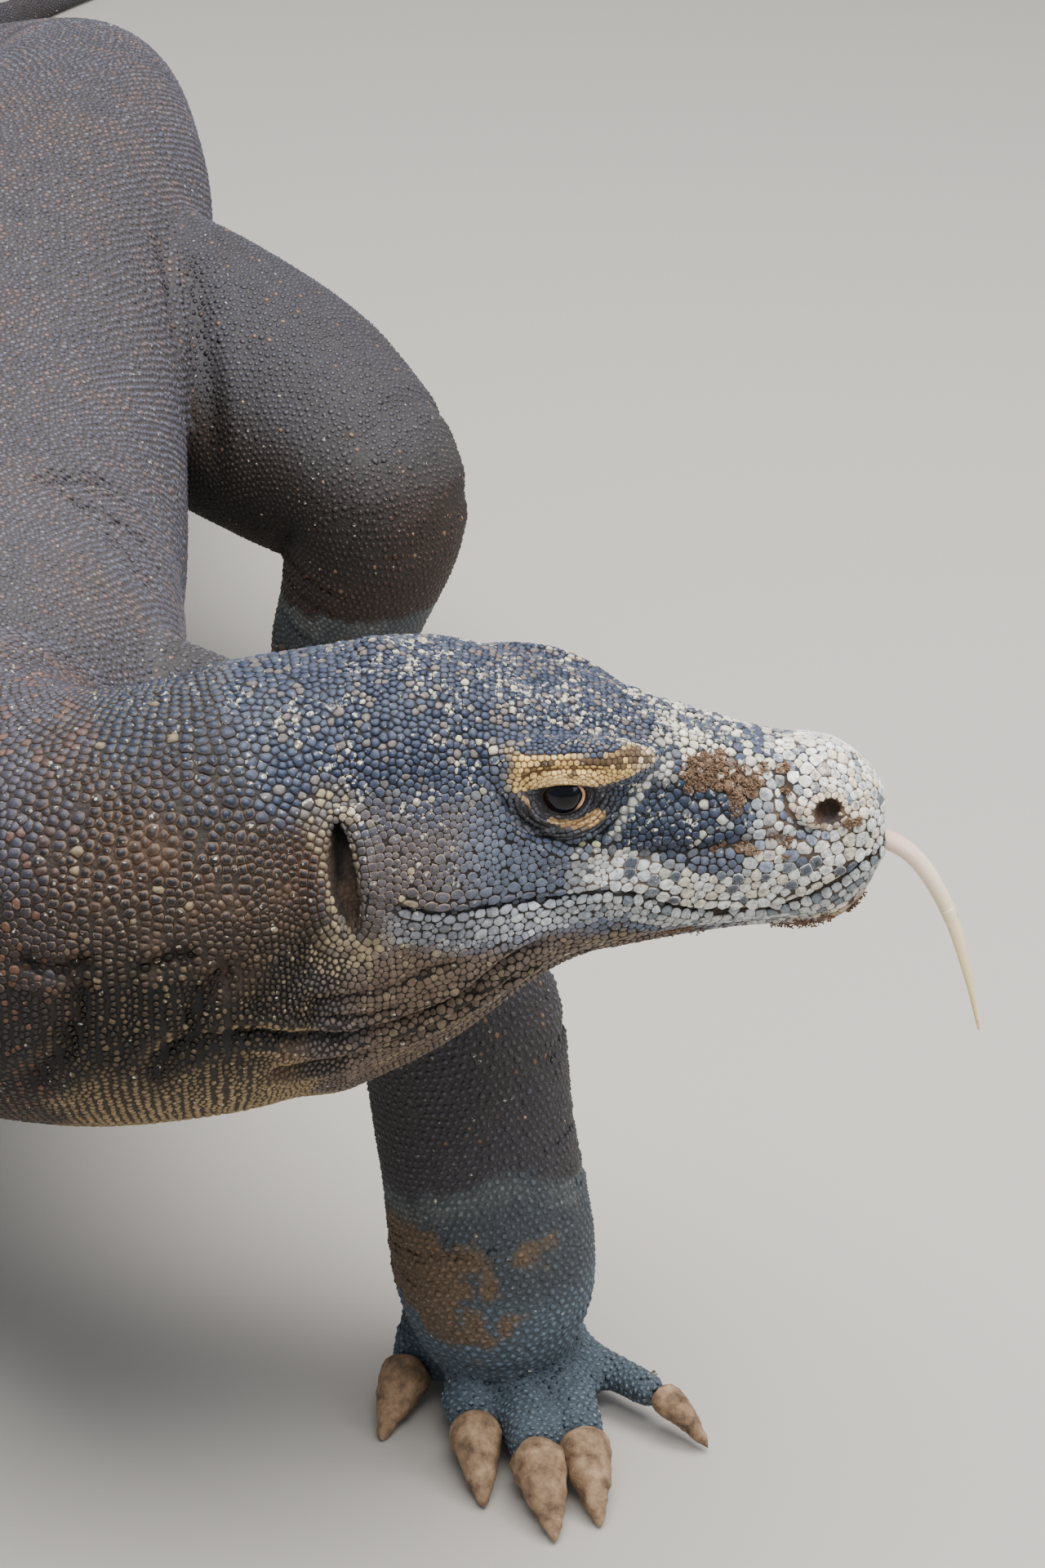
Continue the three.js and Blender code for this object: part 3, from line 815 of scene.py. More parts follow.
for side in SIDES:
    clay.look()
    for line, width, height in ((UPPER_LID, 2.5, 2.2), (LOWER_LID, 1.7, 0.9)):
        distance, share = near_line(clay.points, clay.side_line(line, side, 1.0), 12)
        roll = np.exp(-((distance / width) ** 2)) * ease(share, 0, 0.2) * ease(share, 1, 0.8)
        roll *= ease(almond(clay.points, side), 0.98, 1.12)
        clay.points += clay.out * (roll * height)[:, None]
    for ring, depth in ((1.5, 0.5), (1.82, 0.7), (2.18, 0.8), (2.6, 0.8)):
        clay.crease(clay.side_line(bag_line(ring), side, 1.0), 0.75, depth, lip=0.45)
clay.settle()
print("lids, folds, mouth, nostrils and ears sculpted")

# %% [markdown]
# ## Folds of the throat, neck and shoulders
# Loose skin hangs in long folds under the jaw and across the neck, where the head turns. The throat's folds
# are drawn once and lie on both sides, a little shifted on the left. The neck's are drawn for its right side
# and the first four are mirrored. The limbs' folds ring them, deeper at the elbow and the knee.
# %% Folds of throat, neck and limbs
THROAT_FOLDS = [
    # places on the head's side: back, height; then the fold's width and depth
    ([(116, 273), (128, 269), (140, 264.5), (157, 251), (181, 243.5), (198, 240.5), (212, 247), (228, 255),
      (245, 256), (254, 250)], 2.8, 3.4),
    ([(124, 262), (140, 253), (155, 245), (170, 238), (186, 232)], 2.4, 2.4),
    ([(150, 270), (166, 268), (182, 262), (198, 260), (214, 263)], 2.2, 1.4),
    ([(176, 252), (192, 249), (206, 253)], 2.0, 1.4),
    ([(186, 232), (198, 228), (212, 230), (226, 236)], 3.2, 2.4),
]
NECK_FOLDS = [
    # places on the neck and trunk: x, y, z; then width and depth
    ([(80, -764, 290), (86, -765, 287), (96, -765, 285), (105, -765, 286.5), (112, -765, 292)], 3.2, 2.6),
    ([(109, -765, 290), (106, -764, 280), (105, -765, 264), (99, -764, 252), (91, -762, 242),
      (83, -756, 230)], 5.5, 3.4),
    ([(124, -765, 284), (133, -766, 287.5), (141, -765, 290), (150, -763, 287)], 3.0, 2.2),
    ([(162, -761, 290), (156, -762, 282), (148, -762, 275), (144, -762, 265), (142, -762, 256),
      (134, -764, 252), (131, -764, 244), (133, -758, 232)], 4.6, 3.0),
    ([(74, -756, 300), (70, -760, 284), (66, -760, 266), (60, -752, 248)], 5.5, 2.2),
    ([(52, -715, 330), (42, -725, 306), (36, -728, 280), (30, -720, 256)], 6.5, 2.4),
    ([(52, -424, 319), (66, -390, 305), (76, -372, 294), (84, -366, 280)], 4.5, 2.0),
    ([(64, -436, 314), (78, -424, 304), (92, -418, 292), (98, -410, 276)], 5.0, 2.4),
    ([(84, -450, 312), (98, -468, 306), (108, -478, 292)], 5.0, 2.2),
    ([(66, -20, 290), (73, -40, 283), (80, -76, 266), (87, -112, 250), (90, -132, 232)], 6.0, 2.6),
    ([(84, -14, 281), (91, -58, 262), (98, -86, 235), (101, -100, 205), (100, -98, 175)], 6.0, 2.6),
    ([(-100, -20, 288), (-116, -50, 268), (-126, -70, 240)], 6.0, 2.6),
]


def mirrored(line):
    """The same fold on the other side of the neck."""
    across = np.array(line, float)
    across[:, 1] = 2 * HEAD_Y - across[:, 1]
    return across


for side in SIDES:
    clay.look()
    for line, width, depth in THROAT_FOLDS:
        shifted = np.array(line) + ((5, -3) if side > 0 else (0, 0))
        clay.crease(clay.side_line(shifted, side), width, depth, lip=0.45)
clay.settle()
clay.look()


def on_skin(line, step=3.0):
    fine = smooth_line(np.array(line, float), step)
    return np.array([clay.tree.find_nearest(Vector(spot))[0] for spot in fine])


for line, width, depth in NECK_FOLDS:
    clay.crease(on_skin(line), width, depth, lip=0.4)
for line, width, depth in NECK_FOLDS[:4]:
    clay.crease(on_skin(mirrored(line)), width, depth, lip=0.4)
clay.settle()
limb_folds = 0
for leg, tube in limbs.items():
    fore = leg.startswith("fore")
    width, depth = (3.2, 1.6) if fore else (6.0, 1.2)
    for share in (0.53, 0.57, 0.61) if fore else (0.56, 0.61):
        at = np.full(25, share * tube.length)
        angle = np.linspace(0.6, 3.6, 25) + (0.5 if fore else 0.2)
        clay.crease(on_skin(tube.surface(at + 5 * np.sin(angle * 2), angle)), width, depth, lip=0.4)
        limb_folds += 1
    for share in np.linspace(0.68, 0.93, 9):
        start = chance.uniform(0, 6.28)
        at = np.full(25, share * tube.length)
        angle = np.linspace(start, start + chance.uniform(2.2, 4.2), 25)
        wave = 2.5 * np.sin(angle * 1.7 + start)
        clay.crease(on_skin(tube.surface(at + wave, angle)), 1.9, 0.9, lip=0.5, taper=0.3)
        limb_folds += 1
clay.settle()
clay.look()
print(len(THROAT_FOLDS) * 2 + len(NECK_FOLDS) + 4, "folds on the neck,", limb_folds, "on the limbs")

# %% [markdown]
# ## Where the scales grow
# A monitor's scales stand in rows across the body, each row shifted by half a scale from the last. They are
# smallest on the face, the throat and the feet, and largest on the nape and the trunk. Seeds are laid in
# such rows on every form, special rows follow the lips, lids, nostrils and ears, gaps are filled from the
# skin's own points, and then neighbours push each other apart until the coat lies evenly.
# %% Seeds in rows
FACE, NECK, GULAR, TRUNK, TAIL, LEG, FOOT = range(7)
PLACE, LIE, PITCH, PART, RANK = slice(0, 3), slice(3, 6), slice(6, 8), 8, 9  # the columns of a seed
seed_sets = []


def add_seeds(places, lie, along, across, part, rank):
    count = len(places)
    columns = [np.broadcast_to(value, count).astype(float)[:, None] for value in (along, across, part, rank)]
    unlike = (0.20 if part == FACE else 0.16) if rank else 0.08  # how much scales differ in place and size
    places = places + chance.normal(0, unlike * along * 0.8, (count, 3))
    growth = 1 + np.clip(chance.normal(0, unlike * 0.85, (count, 1)), -0.26, 0.34)
    columns[0], columns[1] = columns[0] * growth, columns[1] * growth
    seed_sets.append(np.hstack((places, unit(lie), *columns)))


def lay_rows(surface, start, end, along, across, part, sweep=(0, 2 * math.pi), tighten=0.87):
    """Rows of seeds across a surface; along and across give the pitch at a distance."""
    at, odd, steps = start, 0, 181
    while at < end:
        angle = np.linspace(*sweep, steps)
        ring = surface(np.full(steps, at), angle)
        walk = walk_of(ring)
        count = max(3, round(walk[-1] / across(at)))
        marks = (np.arange(count) + 0.25 + 0.5 * odd) / count * walk[-1]
        angles = np.interp(marks, walk, angle)
        places = surface(np.full(count, at), angles)
        ahead = surface(np.full(count, at + 1.5), angles)
        add_seeds(places, ahead - places, along(at), across(at), part, 1)
        at += along(at) * tighten
        odd = 1 - odd


def table_of(*stops):
    """A pitch that changes between given places."""
    places, sizes = zip(*stops)
    return lambda at: float(np.interp(at, places, sizes))


QUARTER = math.pi / 2
CROWN_SWEEP = (QUARTER * 0.42, QUARTER * 1.58)
THROAT_SWEEP = (QUARTER * 2.55, QUARTER * 3.45)
crown = table_of((0, 4.5), (50, 4.3), (75, 3.4), (105, 2.6), (150, 2.8), (180, 3.0), (200, 3.3))
cheek = table_of((0, 4.5), (45, 4.4), (62, 3.5), (100, 3.0), (150, 2.9), (200, 2.6))
throat = table_of((0, 3.6), (60, 2.9), (120, 2.5), (200, 2.3))
nape = table_of((200, 3.3), (225, 3.8), (250, 4.1), (290, 3.6), (330, 2.8), (395, 2.9))
nape_wide = table_of((200, 3.3), (225, 3.8), (250, 4.1), (290, 3.9), (330, 4.1), (395, 4.3))
lay_rows(body_surface, 3, NECK_START, crown, crown, FACE, CROWN_SWEEP)
lay_rows(body_surface, NECK_START, SHOULDER, nape, nape_wide, NECK, CROWN_SWEEP)
lay_rows(body_surface, 3, 110, throat, throat, FACE, THROAT_SWEEP)
lay_rows(body_surface, 110, NECK_START, throat, throat, GULAR, THROAT_SWEEP)
NECK_BANDS = (  # down the side of the neck: where a band ends, in quarter turns, and its pitch
    (0.42, 0.26, 3.35, NECK), (0.26, 0.08, 2.6, NECK), (0.08, -0.15, 2.35, GULAR), (-0.15, -0.55, 2.2, GULAR))


def both_sides(low, high):
    return (QUARTER * low, QUARTER * high), (QUARTER * (2 - high), QUARTER * (2 - low))


for sweep in both_sides(-0.55, 0.42):
    lay_rows(body_surface, 3, NECK_START, cheek, cheek, FACE, sweep)
for top, bottom, pitch, band in NECK_BANDS:
    size = table_of((200, 2.7), (222, (2.7 + pitch) / 2), (245, pitch), (300, pitch), (330, 2.5), (395, 2.8))
    wide = table_of((200, 2.7), (222, (2.7 + pitch) / 2), (245, pitch), (290, pitch), (330, 3.2), (395, 3.9))
    for sweep in both_sides(bottom, top):
        lay_rows(body_surface, NECK_START, SHOULDER, size, wide, band, sweep)
gular = table_of((200, 2.3), (330, 2.4), (395, 3.2))
lay_rows(body_surface, NECK_START, SHOULDER, gular, gular, GULAR, THROAT_SWEEP)
back_pitch = table_of((395, 3.6), (480, 4.0), (600, 4.4), (1330, 4.8))
belly_pitch = table_of((395, 4.5), (500, 7.5), (1330, 7.5))
UPPER_SWEEP, BELLY_SWEEP = (-QUARTER * 0.45, QUARTER * 2.45), (QUARTER * 2.45, QUARTER * 3.55)
lay_rows(body_surface, SHOULDER, TAIL_START, back_pitch, back_pitch, TRUNK, UPPER_SWEEP)
lay_rows(body_surface, SHOULDER, TAIL_START, belly_pitch, belly_pitch, TRUNK, BELLY_SWEEP)
tail_along = table_of((1330, 5.0), (1700, 5.4), (2100, 4.8), (2400, 3.8), (BODY_LENGTH, 3.0))
tail_across = table_of((1330, 4.8), (1700, 4.4), (2100, 3.6), (2400, 2.8), (BODY_LENGTH, 2.1))
lay_rows(body_surface, TAIL_START, BODY_LENGTH - 2, tail_along, tail_across, TAIL)
for leg, tube in limbs.items():
    size = table_of((0, 4.2), (tube.length * 0.45, 3.7), (tube.length * 0.7, 3.3), (tube.length, 3.0))
    lay_rows(tube.surface, 20, tube.length * 0.8, size, size, LEG)
    ahead, wide = table_of((0, 3.0)), table_of((0, 4.2))
    lay_rows(tube.surface, tube.length * 0.8, tube.length, ahead, wide, FOOT)
    sections = PALMS[leg[:4]]
    palm_size = table_of((-40, 3.1), (40, 3.0), (80, 2.9))
    lay_rows(palm_surface(leg, FOOT_COAT), sections[0, 0], sections[-1, 0] + 4, palm_size, wide, FOOT)
for toe in toes.values():
    lay_rows(toe.surface, 0, toe.length + 3, table_of((0, 2.8)), table_of((0, 3.8)), FOOT)
print(sum(len(s) for s in seed_sets), "seeds in rows")


# %% Special rows of the face
def shifted_line(line, up):
    """A line drawn in side view, moved square to itself."""
    fine = smooth_line(np.array(line, float), 1.0)
    step = unit(np.gradient(fine, axis=0))
    return fine + np.column_stack((-step[:, 1], step[:, 0])) * up


def along_line(line, pitch, side, phase=0.0):
    """Places at an even pitch along a line in side view, dropped on the head."""
    drawn = np.array([clay.from_side(*spot, side) for spot in line])
    walk = walk_of(drawn)
    marks = np.arange(phase * pitch, walk[-1], pitch)
    places = np.column_stack([np.interp(marks, walk, drawn[:, i]) for i in range(3)])
    ahead = np.column_stack([np.interp(marks + 0.5, walk, drawn[:, i]) for i in range(3)])
    return places, ahead - places


def around(centre, reach, pitch, side, exponent=2.0):
    """Places at an even pitch round an oval in side view."""
    angle = np.linspace(0, 2 * math.pi, 121)
    oval = np.column_stack((centre[0] - reach[0] * power(np.cos(angle), 2 / exponent),
                            centre[1] + reach[1] * power(np.sin(angle), 2 / exponent)))
    walk = np.sum(np.linalg.norm(np.diff(oval, axis=0), axis=1))
    return along_line(oval, walk / max(6, round(walk / pitch)), side)


BROW_STOPS = [(141, 341.5), (130, 342.6), (118, 343), (106, 342.4), (96, 340.6), (88, 337.6)]
BROW_ROW = smooth_line(np.array(BROW_STOPS), 1.0)
LIP_ROWS = ((2.9, 5.0), (7.6, 4.9), (12.0, 4.6), (-2.6, 4.2), (-6.2, 3.8), (-9.6, 3.5))  # height, pitch
REAR_LIP_ROWS = ((2.5, 6.4), (6.6, 5.6), (-2.4, 5.6), (-6.2, 5.6), (-10.0, 5.0))
EYE_ROWS = ((1.20, 1.35), (1.38, 1.45), (1.58, 1.6), (1.8, 1.75), (2.05, 1.9), (2.32, 2.0), (2.6, 2.2))
for side in SIDES:
    for row, (up, pitch) in enumerate(LIP_ROWS):
        places, lie = along_line(shifted_line(MOUTH[1:11], up), pitch, side, 0.5 * (row % 2) + 0.2)
        add_seeds(places, lie, pitch, pitch * 0.95, FACE, 0)
    for row, (up, pitch) in enumerate(REAR_LIP_ROWS):
        places, lie = along_line(shifted_line(MOUTH[10:], up), pitch, side, 0.5 * (row % 2) + 0.4)
        add_seeds(places, lie, pitch, 3.8, FACE, 0)
    for ring, pitch in EYE_ROWS:
        centre = (EYE_BACK + 0.4, EYE_HEIGHT + 0.6)
        reach = (OPENING_BACK * (1 + (ring - 1) * 1.15), OPENING_HEIGHT * ring)
        places, lie = around(centre, reach, pitch * 1.3, side, ALMOND)
        keep = (places[:, 2] < 338.5) & (ring < 2.2) | (places[:, 2] < EYE_HEIGHT + 1)
        add_seeds(places[keep], lie[keep], pitch * 1.35, pitch * 0.8, FACE, 0)
    for row, up in enumerate((-1.4, 0.8, 3.0)):
        places, lie = along_line(BROW_ROW + np.array((0, up)), 2.3, side, 0.5 * (row % 2))
        add_seeds(places, lie, 2.3, 2.2, FACE, 0)
    for ring, pitch in ((1.45, 2.7), (2.15, 3.5)):
        places, lie = around(NOSTRIL, np.multiply(NOSTRIL_REACH, ring), pitch, side)
        add_seeds(places, lie, pitch, pitch, FACE, 0)
    for offset, pitch in ((3.2, 3.0), (6.2, 3.1), (9.4, 3.2)):
        places, lie = around((196.8, 305.5), (4.4 + offset, 20 + offset * 0.8), pitch, side)
        add_seeds(places, lie, pitch, pitch, FACE, 0)
seeds = np.vstack(seed_sets)
print(len(seeds), "seeds with the rows of the face")

# %% [markdown]
# Nothing grows inside the eye's opening, the nostrils, the ears or between the lips. Seeds drop onto the
# nearest skin, and the skin's own points offer seeds wherever none is near.
# %% Drop the seeds on the skin, and fill the gaps
vertex_out = clay.out
face_points = np.array([tuple(face.vertices)[:3] for face in skin.polygons])


def drop(places):
    """The nearest places on the skin, with the outward direction, the face, and the distance."""
    found = np.empty((len(places), 3))
    faces = np.empty(len(places), int)
    gaps = np.empty(len(places))
    nearest = clay.tree.find_nearest
    for i, place in enumerate(places.tolist()):
        spot, _, face, gap = nearest(place)
        found[i] = spot
        faces[i] = face
        gaps[i] = gap
    return found, unit(vertex_out[face_points[faces]].mean(axis=1)), faces, gaps


SQUASH = np.array((1, 0.2, 1))  # a slit is measured across its mouth, not down into it


def bare(points):
    """Where no scale grows."""
    b = head_place(points)[0]
    closed = points[:, 2] < 1.0
    for side in SIDES:
        own = points[:, 1] * side > HEAD_Y * side
        eye = (almond(points, side) < 1.13) & (np.linalg.norm(points - eye_centre(side), axis=1) < 24)
        spot = (points - nostrils[side])[:, (0, 2)] / (5.2, 4.7)
        nose = (np.linalg.norm(spot, axis=1) < 0.95) & (b < 40)
        distance, share = near_line(points * SQUASH, ears[side] * SQUASH, 12)
        half_width = slit_width(share, 1.2, 3.6)
        lips = near_line(points, mouths[side], 4)[0] < 0.8
        closed |= own & (eye | nose | (distance < half_width) | lips)
    return closed


places, out, faces, gaps = drop(seeds[:, PLACE])
keep = (gaps < 7) & ~bare(places)
seeds[:, PLACE] = places
seeds = seeds[keep]


def tree_of(points):
    tree = KDTree(len(points))
    for i, point in enumerate(points.tolist()):
        tree.insert(point, i)
    tree.balance()
    return tree


tree = tree_of(seeds[:, PLACE])
offers = clay.points[chance.permutation(len(clay.points))[:150000]]
offers = offers[~bare(offers)]
nearest = [tree.find(point)[1:] for point in offers.tolist()]
owner = np.array([n[0] for n in nearest])
open_ground = np.array([n[1] for n in nearest]) > 0.72 * seeds[owner, PITCH.start]
fill = seeds[owner[open_ground]].copy()
fill[:, PLACE] = offers[open_ground]
fill[:, RANK] = 2
seeds = np.vstack((seeds, fill))
print(len(fill), "seeds offered for gaps")

# %% Thin out, then let neighbours push each other apart
order = np.lexsort((np.arange(len(seeds)), seeds[:, RANK]))
seeds = seeds[order]
tree = tree_of(seeds[:, PLACE])
alive = np.ones(len(seeds), bool)
SPACING = 0.60
for i, row in enumerate(seeds.tolist()):
    if not alive[i]:
        continue
    for _, j, _ in tree.find_range(row[PLACE], SPACING * min(row[PITCH])):
        if j > i:
            alive[j] = False
seeds = seeds[alive]
print(len(seeds), "scales")


def neighbours(points, count):
    tree = tree_of(points)
    found = np.empty((len(points), count), int)
    for i, point in enumerate(points.tolist()):
        found[i] = [hit[1] for hit in tree.find_n(point, count + 1)][1:]
    return found


def flat_frame(lie, out):
    along = unit(lie - out * np.sum(lie * out, axis=1)[:, None])
    return along, np.cross(out, along)


for turn in range(4):
    places, out, faces, _ = drop(seeds[:, PLACE])
    seeds[:, PLACE] = places
    along, aside = flat_frame(seeds[:, LIE], out)
    near = neighbours(places, 8)
    gap = places[:, None] - places[near]
    size = (seeds[:, None, PITCH] + seeds[near][:, :, PITCH]) / 2
    flat = np.stack([np.sum(gap * axis[:, None], axis=2) for axis in (along, aside)], axis=2) / size
    far = np.maximum(np.linalg.norm(flat, axis=2), 1e-6)
    push = np.clip(1.0 - far, 0, 0.5)[:, :, None] * flat / far[:, :, None]
    total = push.sum(axis=1) * 0.34 * np.where(seeds[:, RANK] == 0, 0.25, 1.0)[:, None]
    total *= seeds[:, PITCH]
    seeds[:, PLACE] += along * total[:, :1] + aside * total[:, 1:]
places, out, faces, _ = drop(seeds[:, PLACE])
seeds = seeds[~bare(places)]
places, out, faces, _ = drop(seeds[:, PLACE])
seeds[:, PLACE] = places
along, aside = flat_frame(seeds[:, LIE], out)
part = seeds[:, PART].astype(int)
counts = [int((part == p).sum()) for p in range(7)]
print("settled:", counts, "on face, neck, throat, trunk, tail, legs, feet")

# %% [markdown]
# ## Colours of the hide
# The animal is not one colour: a cream and slate snout, a dark band before the eye, cream brows, a
# blue-grey crown and nape, brown skin between dark beads on the neck, a tan throat, a grey back flecked
# with rust, and dry mud on snout and feet. Each rule below paints one of these over the last, for scales
# and skin alike, from a place on the body. The colours are stored on the points, so they follow the form
# and not the view.
# %% Painting tools


def tone(red, green, blue):
    """A screen colour as the linear numbers that a renderer mixes."""
    screen = np.array((red, green, blue)) / 255
    return np.where(screen <= 0.04045, screen / 12.92, ((screen + 0.055) / 1.055) ** 2.4)


def paint(base, colour, amount):
    return base + (colour - base) * np.clip(amount, 0, 1)[:, None]


def in_range(value, low, high, soft):
    return ease(value, low - soft, low + soft) * ease(value, high + soft, high - soft)


PALE_STRIPE = [(80.5, 336), (82, 331.5), (88.5, 331), (92, 327), (95.5, 322), (98, 318), (101, 312)]
CRESCENT = [(133, 328.5), (129.5, 324.5), (125, 321), (119, 318.5), (113, 318), (107.5, 320)]
LID_MARGIN = [(84, 339), (94, 335.5), (103, 333), (110, 334.2), (119, 334.8), (128, 334), (135, 331),
              (142, 334)]
clay.look()
MARKS = {"groove": LIP_GROOVE, "stripe": PALE_STRIPE, "crescent": CRESCENT, "ear": EAR_SLIT}
drawn = {side: {name: clay.side_line(line, side) for name, line in MARKS.items()} for side in SIDES}


def head_field(points, name, reach=40):
    """Distance to a line of the head, on whichever side is nearer."""
    return np.minimum(*(near_line(points, drawn[side][name], reach)[0] for side in SIDES))


def over_line(points, table):
    """How far a place stands above a line drawn in side view."""
    line = np.array(table, float)
    return points[:, 2] - np.interp(SNOUT_X - points[:, 0], line[:, 0], line[:, 1])


def eye_gap(points):
    """How far a place is from the eye's opening: 1 on its edge, 2 at twice its size."""
    gaps = []
    for side in SIDES:
        near = np.linalg.norm(points - eye_centre(side), axis=1) < 36
        gaps.append(np.where(near, almond(points, side), 9))
    return np.minimum(*gaps)


def neck_share(points, part):
    """1 on the neck and 0 on the head; the change is ragged, and comes later on the nape."""
    b, _, z = head_place(points)
    ragged = b + 26 * (cloud(points, 14, 15) - 0.5) - 35 * ease(z, 318, 348)
    return np.where(part < TRUNK, ease(ragged, 186, 214), 0.0)


def trunk_share(points, part):
    """1 on trunk, tail and legs and 0 on the neck; the change over the shoulder is ragged."""
    middle = cubic(BODY_KNOTS, BODY, np.linspace(250, 520, 28))[:, :3]
    walk = near_line(points, middle, 170)[1] + 0.16 * (cloud(points, 30, 18) - 0.5)
    return np.where(part >= TRUNK, 1.0, ease(walk, 0.28, 0.56))


def shoulder_share(points, neck):
    """1 where the neck's beads give way to the shoulder's small transverse ridges."""
    b = head_place(points)[0] + 26 * (cloud(points, 12, 17) - 0.5)
    return neck * np.maximum(ease(b, 284, 308), ease(points[:, 1], -655, -605))


def hide_colours(points, out, part, luck, groove):
    """A scale's four colours, from its middle to the crease round it, and how speckled and how chipped it is.

    luck holds three random numbers for each place, and groove says how deep it lies in a fold.
    """
    b, o, z = head_place(points)
    x, up = points[:, 0], out[:, 2]
    big, mid, small = cloud(points, 60, 3), cloud(points, 16, 5), cloud(points, 6, 9)
    # Crease colours, which also colour the skin between the scales, are mostly dark: partly the skin's own
    # colour, partly painted shade in the gaps between scales.
    coat = {ring: np.tile(tone(80, 80, 84), (len(points), 1)) for ring in ("middle", "top", "edge", "crease")}
    speckle, chips = np.full(len(points), 0.10), np.zeros(len(points))

    def lay(amount, top=None, edge=None, crease=None, middle=None):
        """Lay new colours over the old; middle and edge follow the top unless they are given."""
        if top:
            middle = middle or top
            # painted shade: an edge that is not given is 13% darker than the top, on the scale's shoulder
            edge = edge or [0.87 * part for part in top]
        for ring, colour in (("middle", middle), ("top", top), ("edge", edge), ("crease", crease)):
            if colour:
                coat[ring] = paint(coat[ring], tone(*colour), amount)

    # trunk: blue-grey, flecked with rust
    trunk = trunk_share(points, part)
    rust = ease(cloud(points, 34, 21) + 0.35 * small, 0.55, 1.05) * ease(up, -0.1, 0.6)
    lay(trunk, (84, 84, 97), crease=(66, 60, 61))
    lay(trunk * ease(big, 0.45, 0.7) * 0.5, (74, 80, 98))
    lay(trunk * ease(mid, 0.5, 0.8) * 0.6, (70, 74, 88))
    lay(trunk * rust * 0.20, (122, 98, 90))
    lay(trunk * (luck[:, 0] < 0.06 + 0.26 * rust) * 0.5, (138, 104, 87))
    lay(trunk * (luck[:, 0] > 0.88) * 0.6, (116, 116, 126))
    # painted shade: the trunk is darker and browner where it faces down
    lay(trunk * ease(up, 0.15, -0.6) * 0.6, (60, 54, 49), crease=(46, 40, 36))

    # tail: faint darker bands
    band = 0.5 + 0.5 * np.sin(points[:, 1] / 21 + 2.2 * mid)
    lay((part == TAIL) * ease(band, 0.45, 0.75) * 0.55, (60, 58, 60))

    # legs: painted shade, dark brown, low on the thighs and in the fold by the trunk, wet below a ragged
    # line, mud on the near forearm
    leg = part >= LEG
    hind = leg & (points[:, 1] > -300)
    lay(leg * 0.85, (73, 72, 76), crease=(55, 52, 53))
    lay(hind * ease(big, 0.35, 0.75) * 0.3, (86, 72, 64))
    lay(hind * ease(z, 190, 250) * 0.8, (74, 76, 88), crease=(58, 55, 58))
    # painted shade on the hind legs: low on the thighs and high on their sides where they fold into the
    # trunk, with browner patches in it
    shaded = hind * np.maximum(ease(up, 0.62, 0.15) * ease(z, 290, 240), ease(z, 215, 165))
    lay(shaded * 0.9, (46, 39, 34), crease=(32, 27, 23))
    lay(shaded * ease(cloud(points, 44, 33), 0.45, 0.7) * 0.5, (76, 54, 44), crease=(50, 36, 30))
    lay(leg * ease(mid, 0.55, 0.85) * 0.35, (80, 66, 58))
    lay(leg * (luck[:, 0] < 0.022) * (z > 130) * 0.7, (144, 110, 84))
    near_arm = leg & (x > 190) & ~hind
    arm_line = np.interp(x, (200, 214, 236, 256, 282, 300), (108, 112, 121, 127, 113, 108))
    line = np.where(near_arm, arm_line, 118)
    dry = z - line + 7 * (small - 0.5) + 6 * (mid - 0.5)
    wet = leg * ease(dry, 1.5, -1.5)
    lay(wet * 0.9, (80, 87, 92), crease=(60, 66, 70))
    lay(wet * ease(z, 82, 60) * 0.95, (98, 112, 124), crease=(72, 83, 92))
    lay(leg * in_range(dry, -11, -1, 2) * ease(mid, 0.3, 0.6) * 0.6, (112, 116, 114), crease=(90, 93, 92))
    front_side = ease(out[:, 1] + out[:, 0] * 0.8, 0.5, -0.4)
    splash = in_range(z, 54, 94, 18) * np.where(near_arm, 0.74 * ease(x, 290, 240), 0.4) * front_side
    dry_mud = leg * ease(0.8 * cloud(points, 22, 31) + 0.5 * small + splash, 1.00, 1.16) * (z < 120)
    dry_mud = np.maximum(dry_mud, leg * ease(z + 6 * small, 9, 4))
    lay(dry_mud * 0.85, (112, 90, 66), crease=(96, 78, 56))

    # neck: dark beads with tan edges, smaller and browner towards the throat, ridges at the shoulder
    neck = neck_share(points, part)
    front = np.where(part < TRUNK, 1 - neck, 0.0)
    neck *= 1 - trunk
    shoulder = shoulder_share(points, neck)
    high = ease(z + 16 * (mid - 0.5) - 0.12 * (b - 220), 324, 346)
    low = ease(z + 14 * (mid - 0.5), 312, 280)
    lay(neck, (40, 37, 39), edge=(116, 95, 78), crease=(50, 39, 31))
    lay(neck * high * 0.95, (42, 50, 68), edge=(86, 82, 80), crease=(32, 28, 27))
    # darker and browner low on the neck: partly its own colour, partly painted shade
    lay(neck * low * 0.95, (54, 45, 35), edge=(43, 35, 27), crease=(13, 10, 7))
    lay(neck * ease(z + 10 * (mid - 0.5), 262, 246) * 0.8, (44, 37, 28), crease=(13, 10, 7))
    lay(neck * ease(z, 246, 226) * 0.85, (94, 79, 61), crease=(52, 42, 31))
    lay(neck * low * (luck[:, 1] < 0.2) * 0.6, (108, 92, 70))
    lay(neck * (luck[:, 2] < 0.008 + 0.012 * low) * 0.7, (140, 126, 100))
    lay(neck * ease(up, -0.15, -0.6) * 0.9, (150, 130, 98), edge=(126, 106, 78), crease=(52, 41, 29))
    orange = ease(cloud(points, 30, 12) + 0.2 * small, 0.6, 0.95) * in_range(z, 270, 330, 12)
    lay(neck * orange * 0.5, edge=(118, 88, 68), crease=(74, 54, 41))
    chips += neck * (0.06 + 0.10 * high) * (1 - 0.8 * low)
    lay(shoulder * 0.9, (46, 41, 43), edge=(94, 76, 62), crease=(28, 21, 17))
    on_back = np.maximum(ease(z, 334, 356), ease(up, 0.3, 0.75))
    lay(shoulder * on_back * 0.85, (64, 64, 77), edge=(90, 83, 83), crease=(36, 31, 31))
    lay(shoulder * (luck[:, 0] < 0.16) * 0.5, (118, 82, 60))

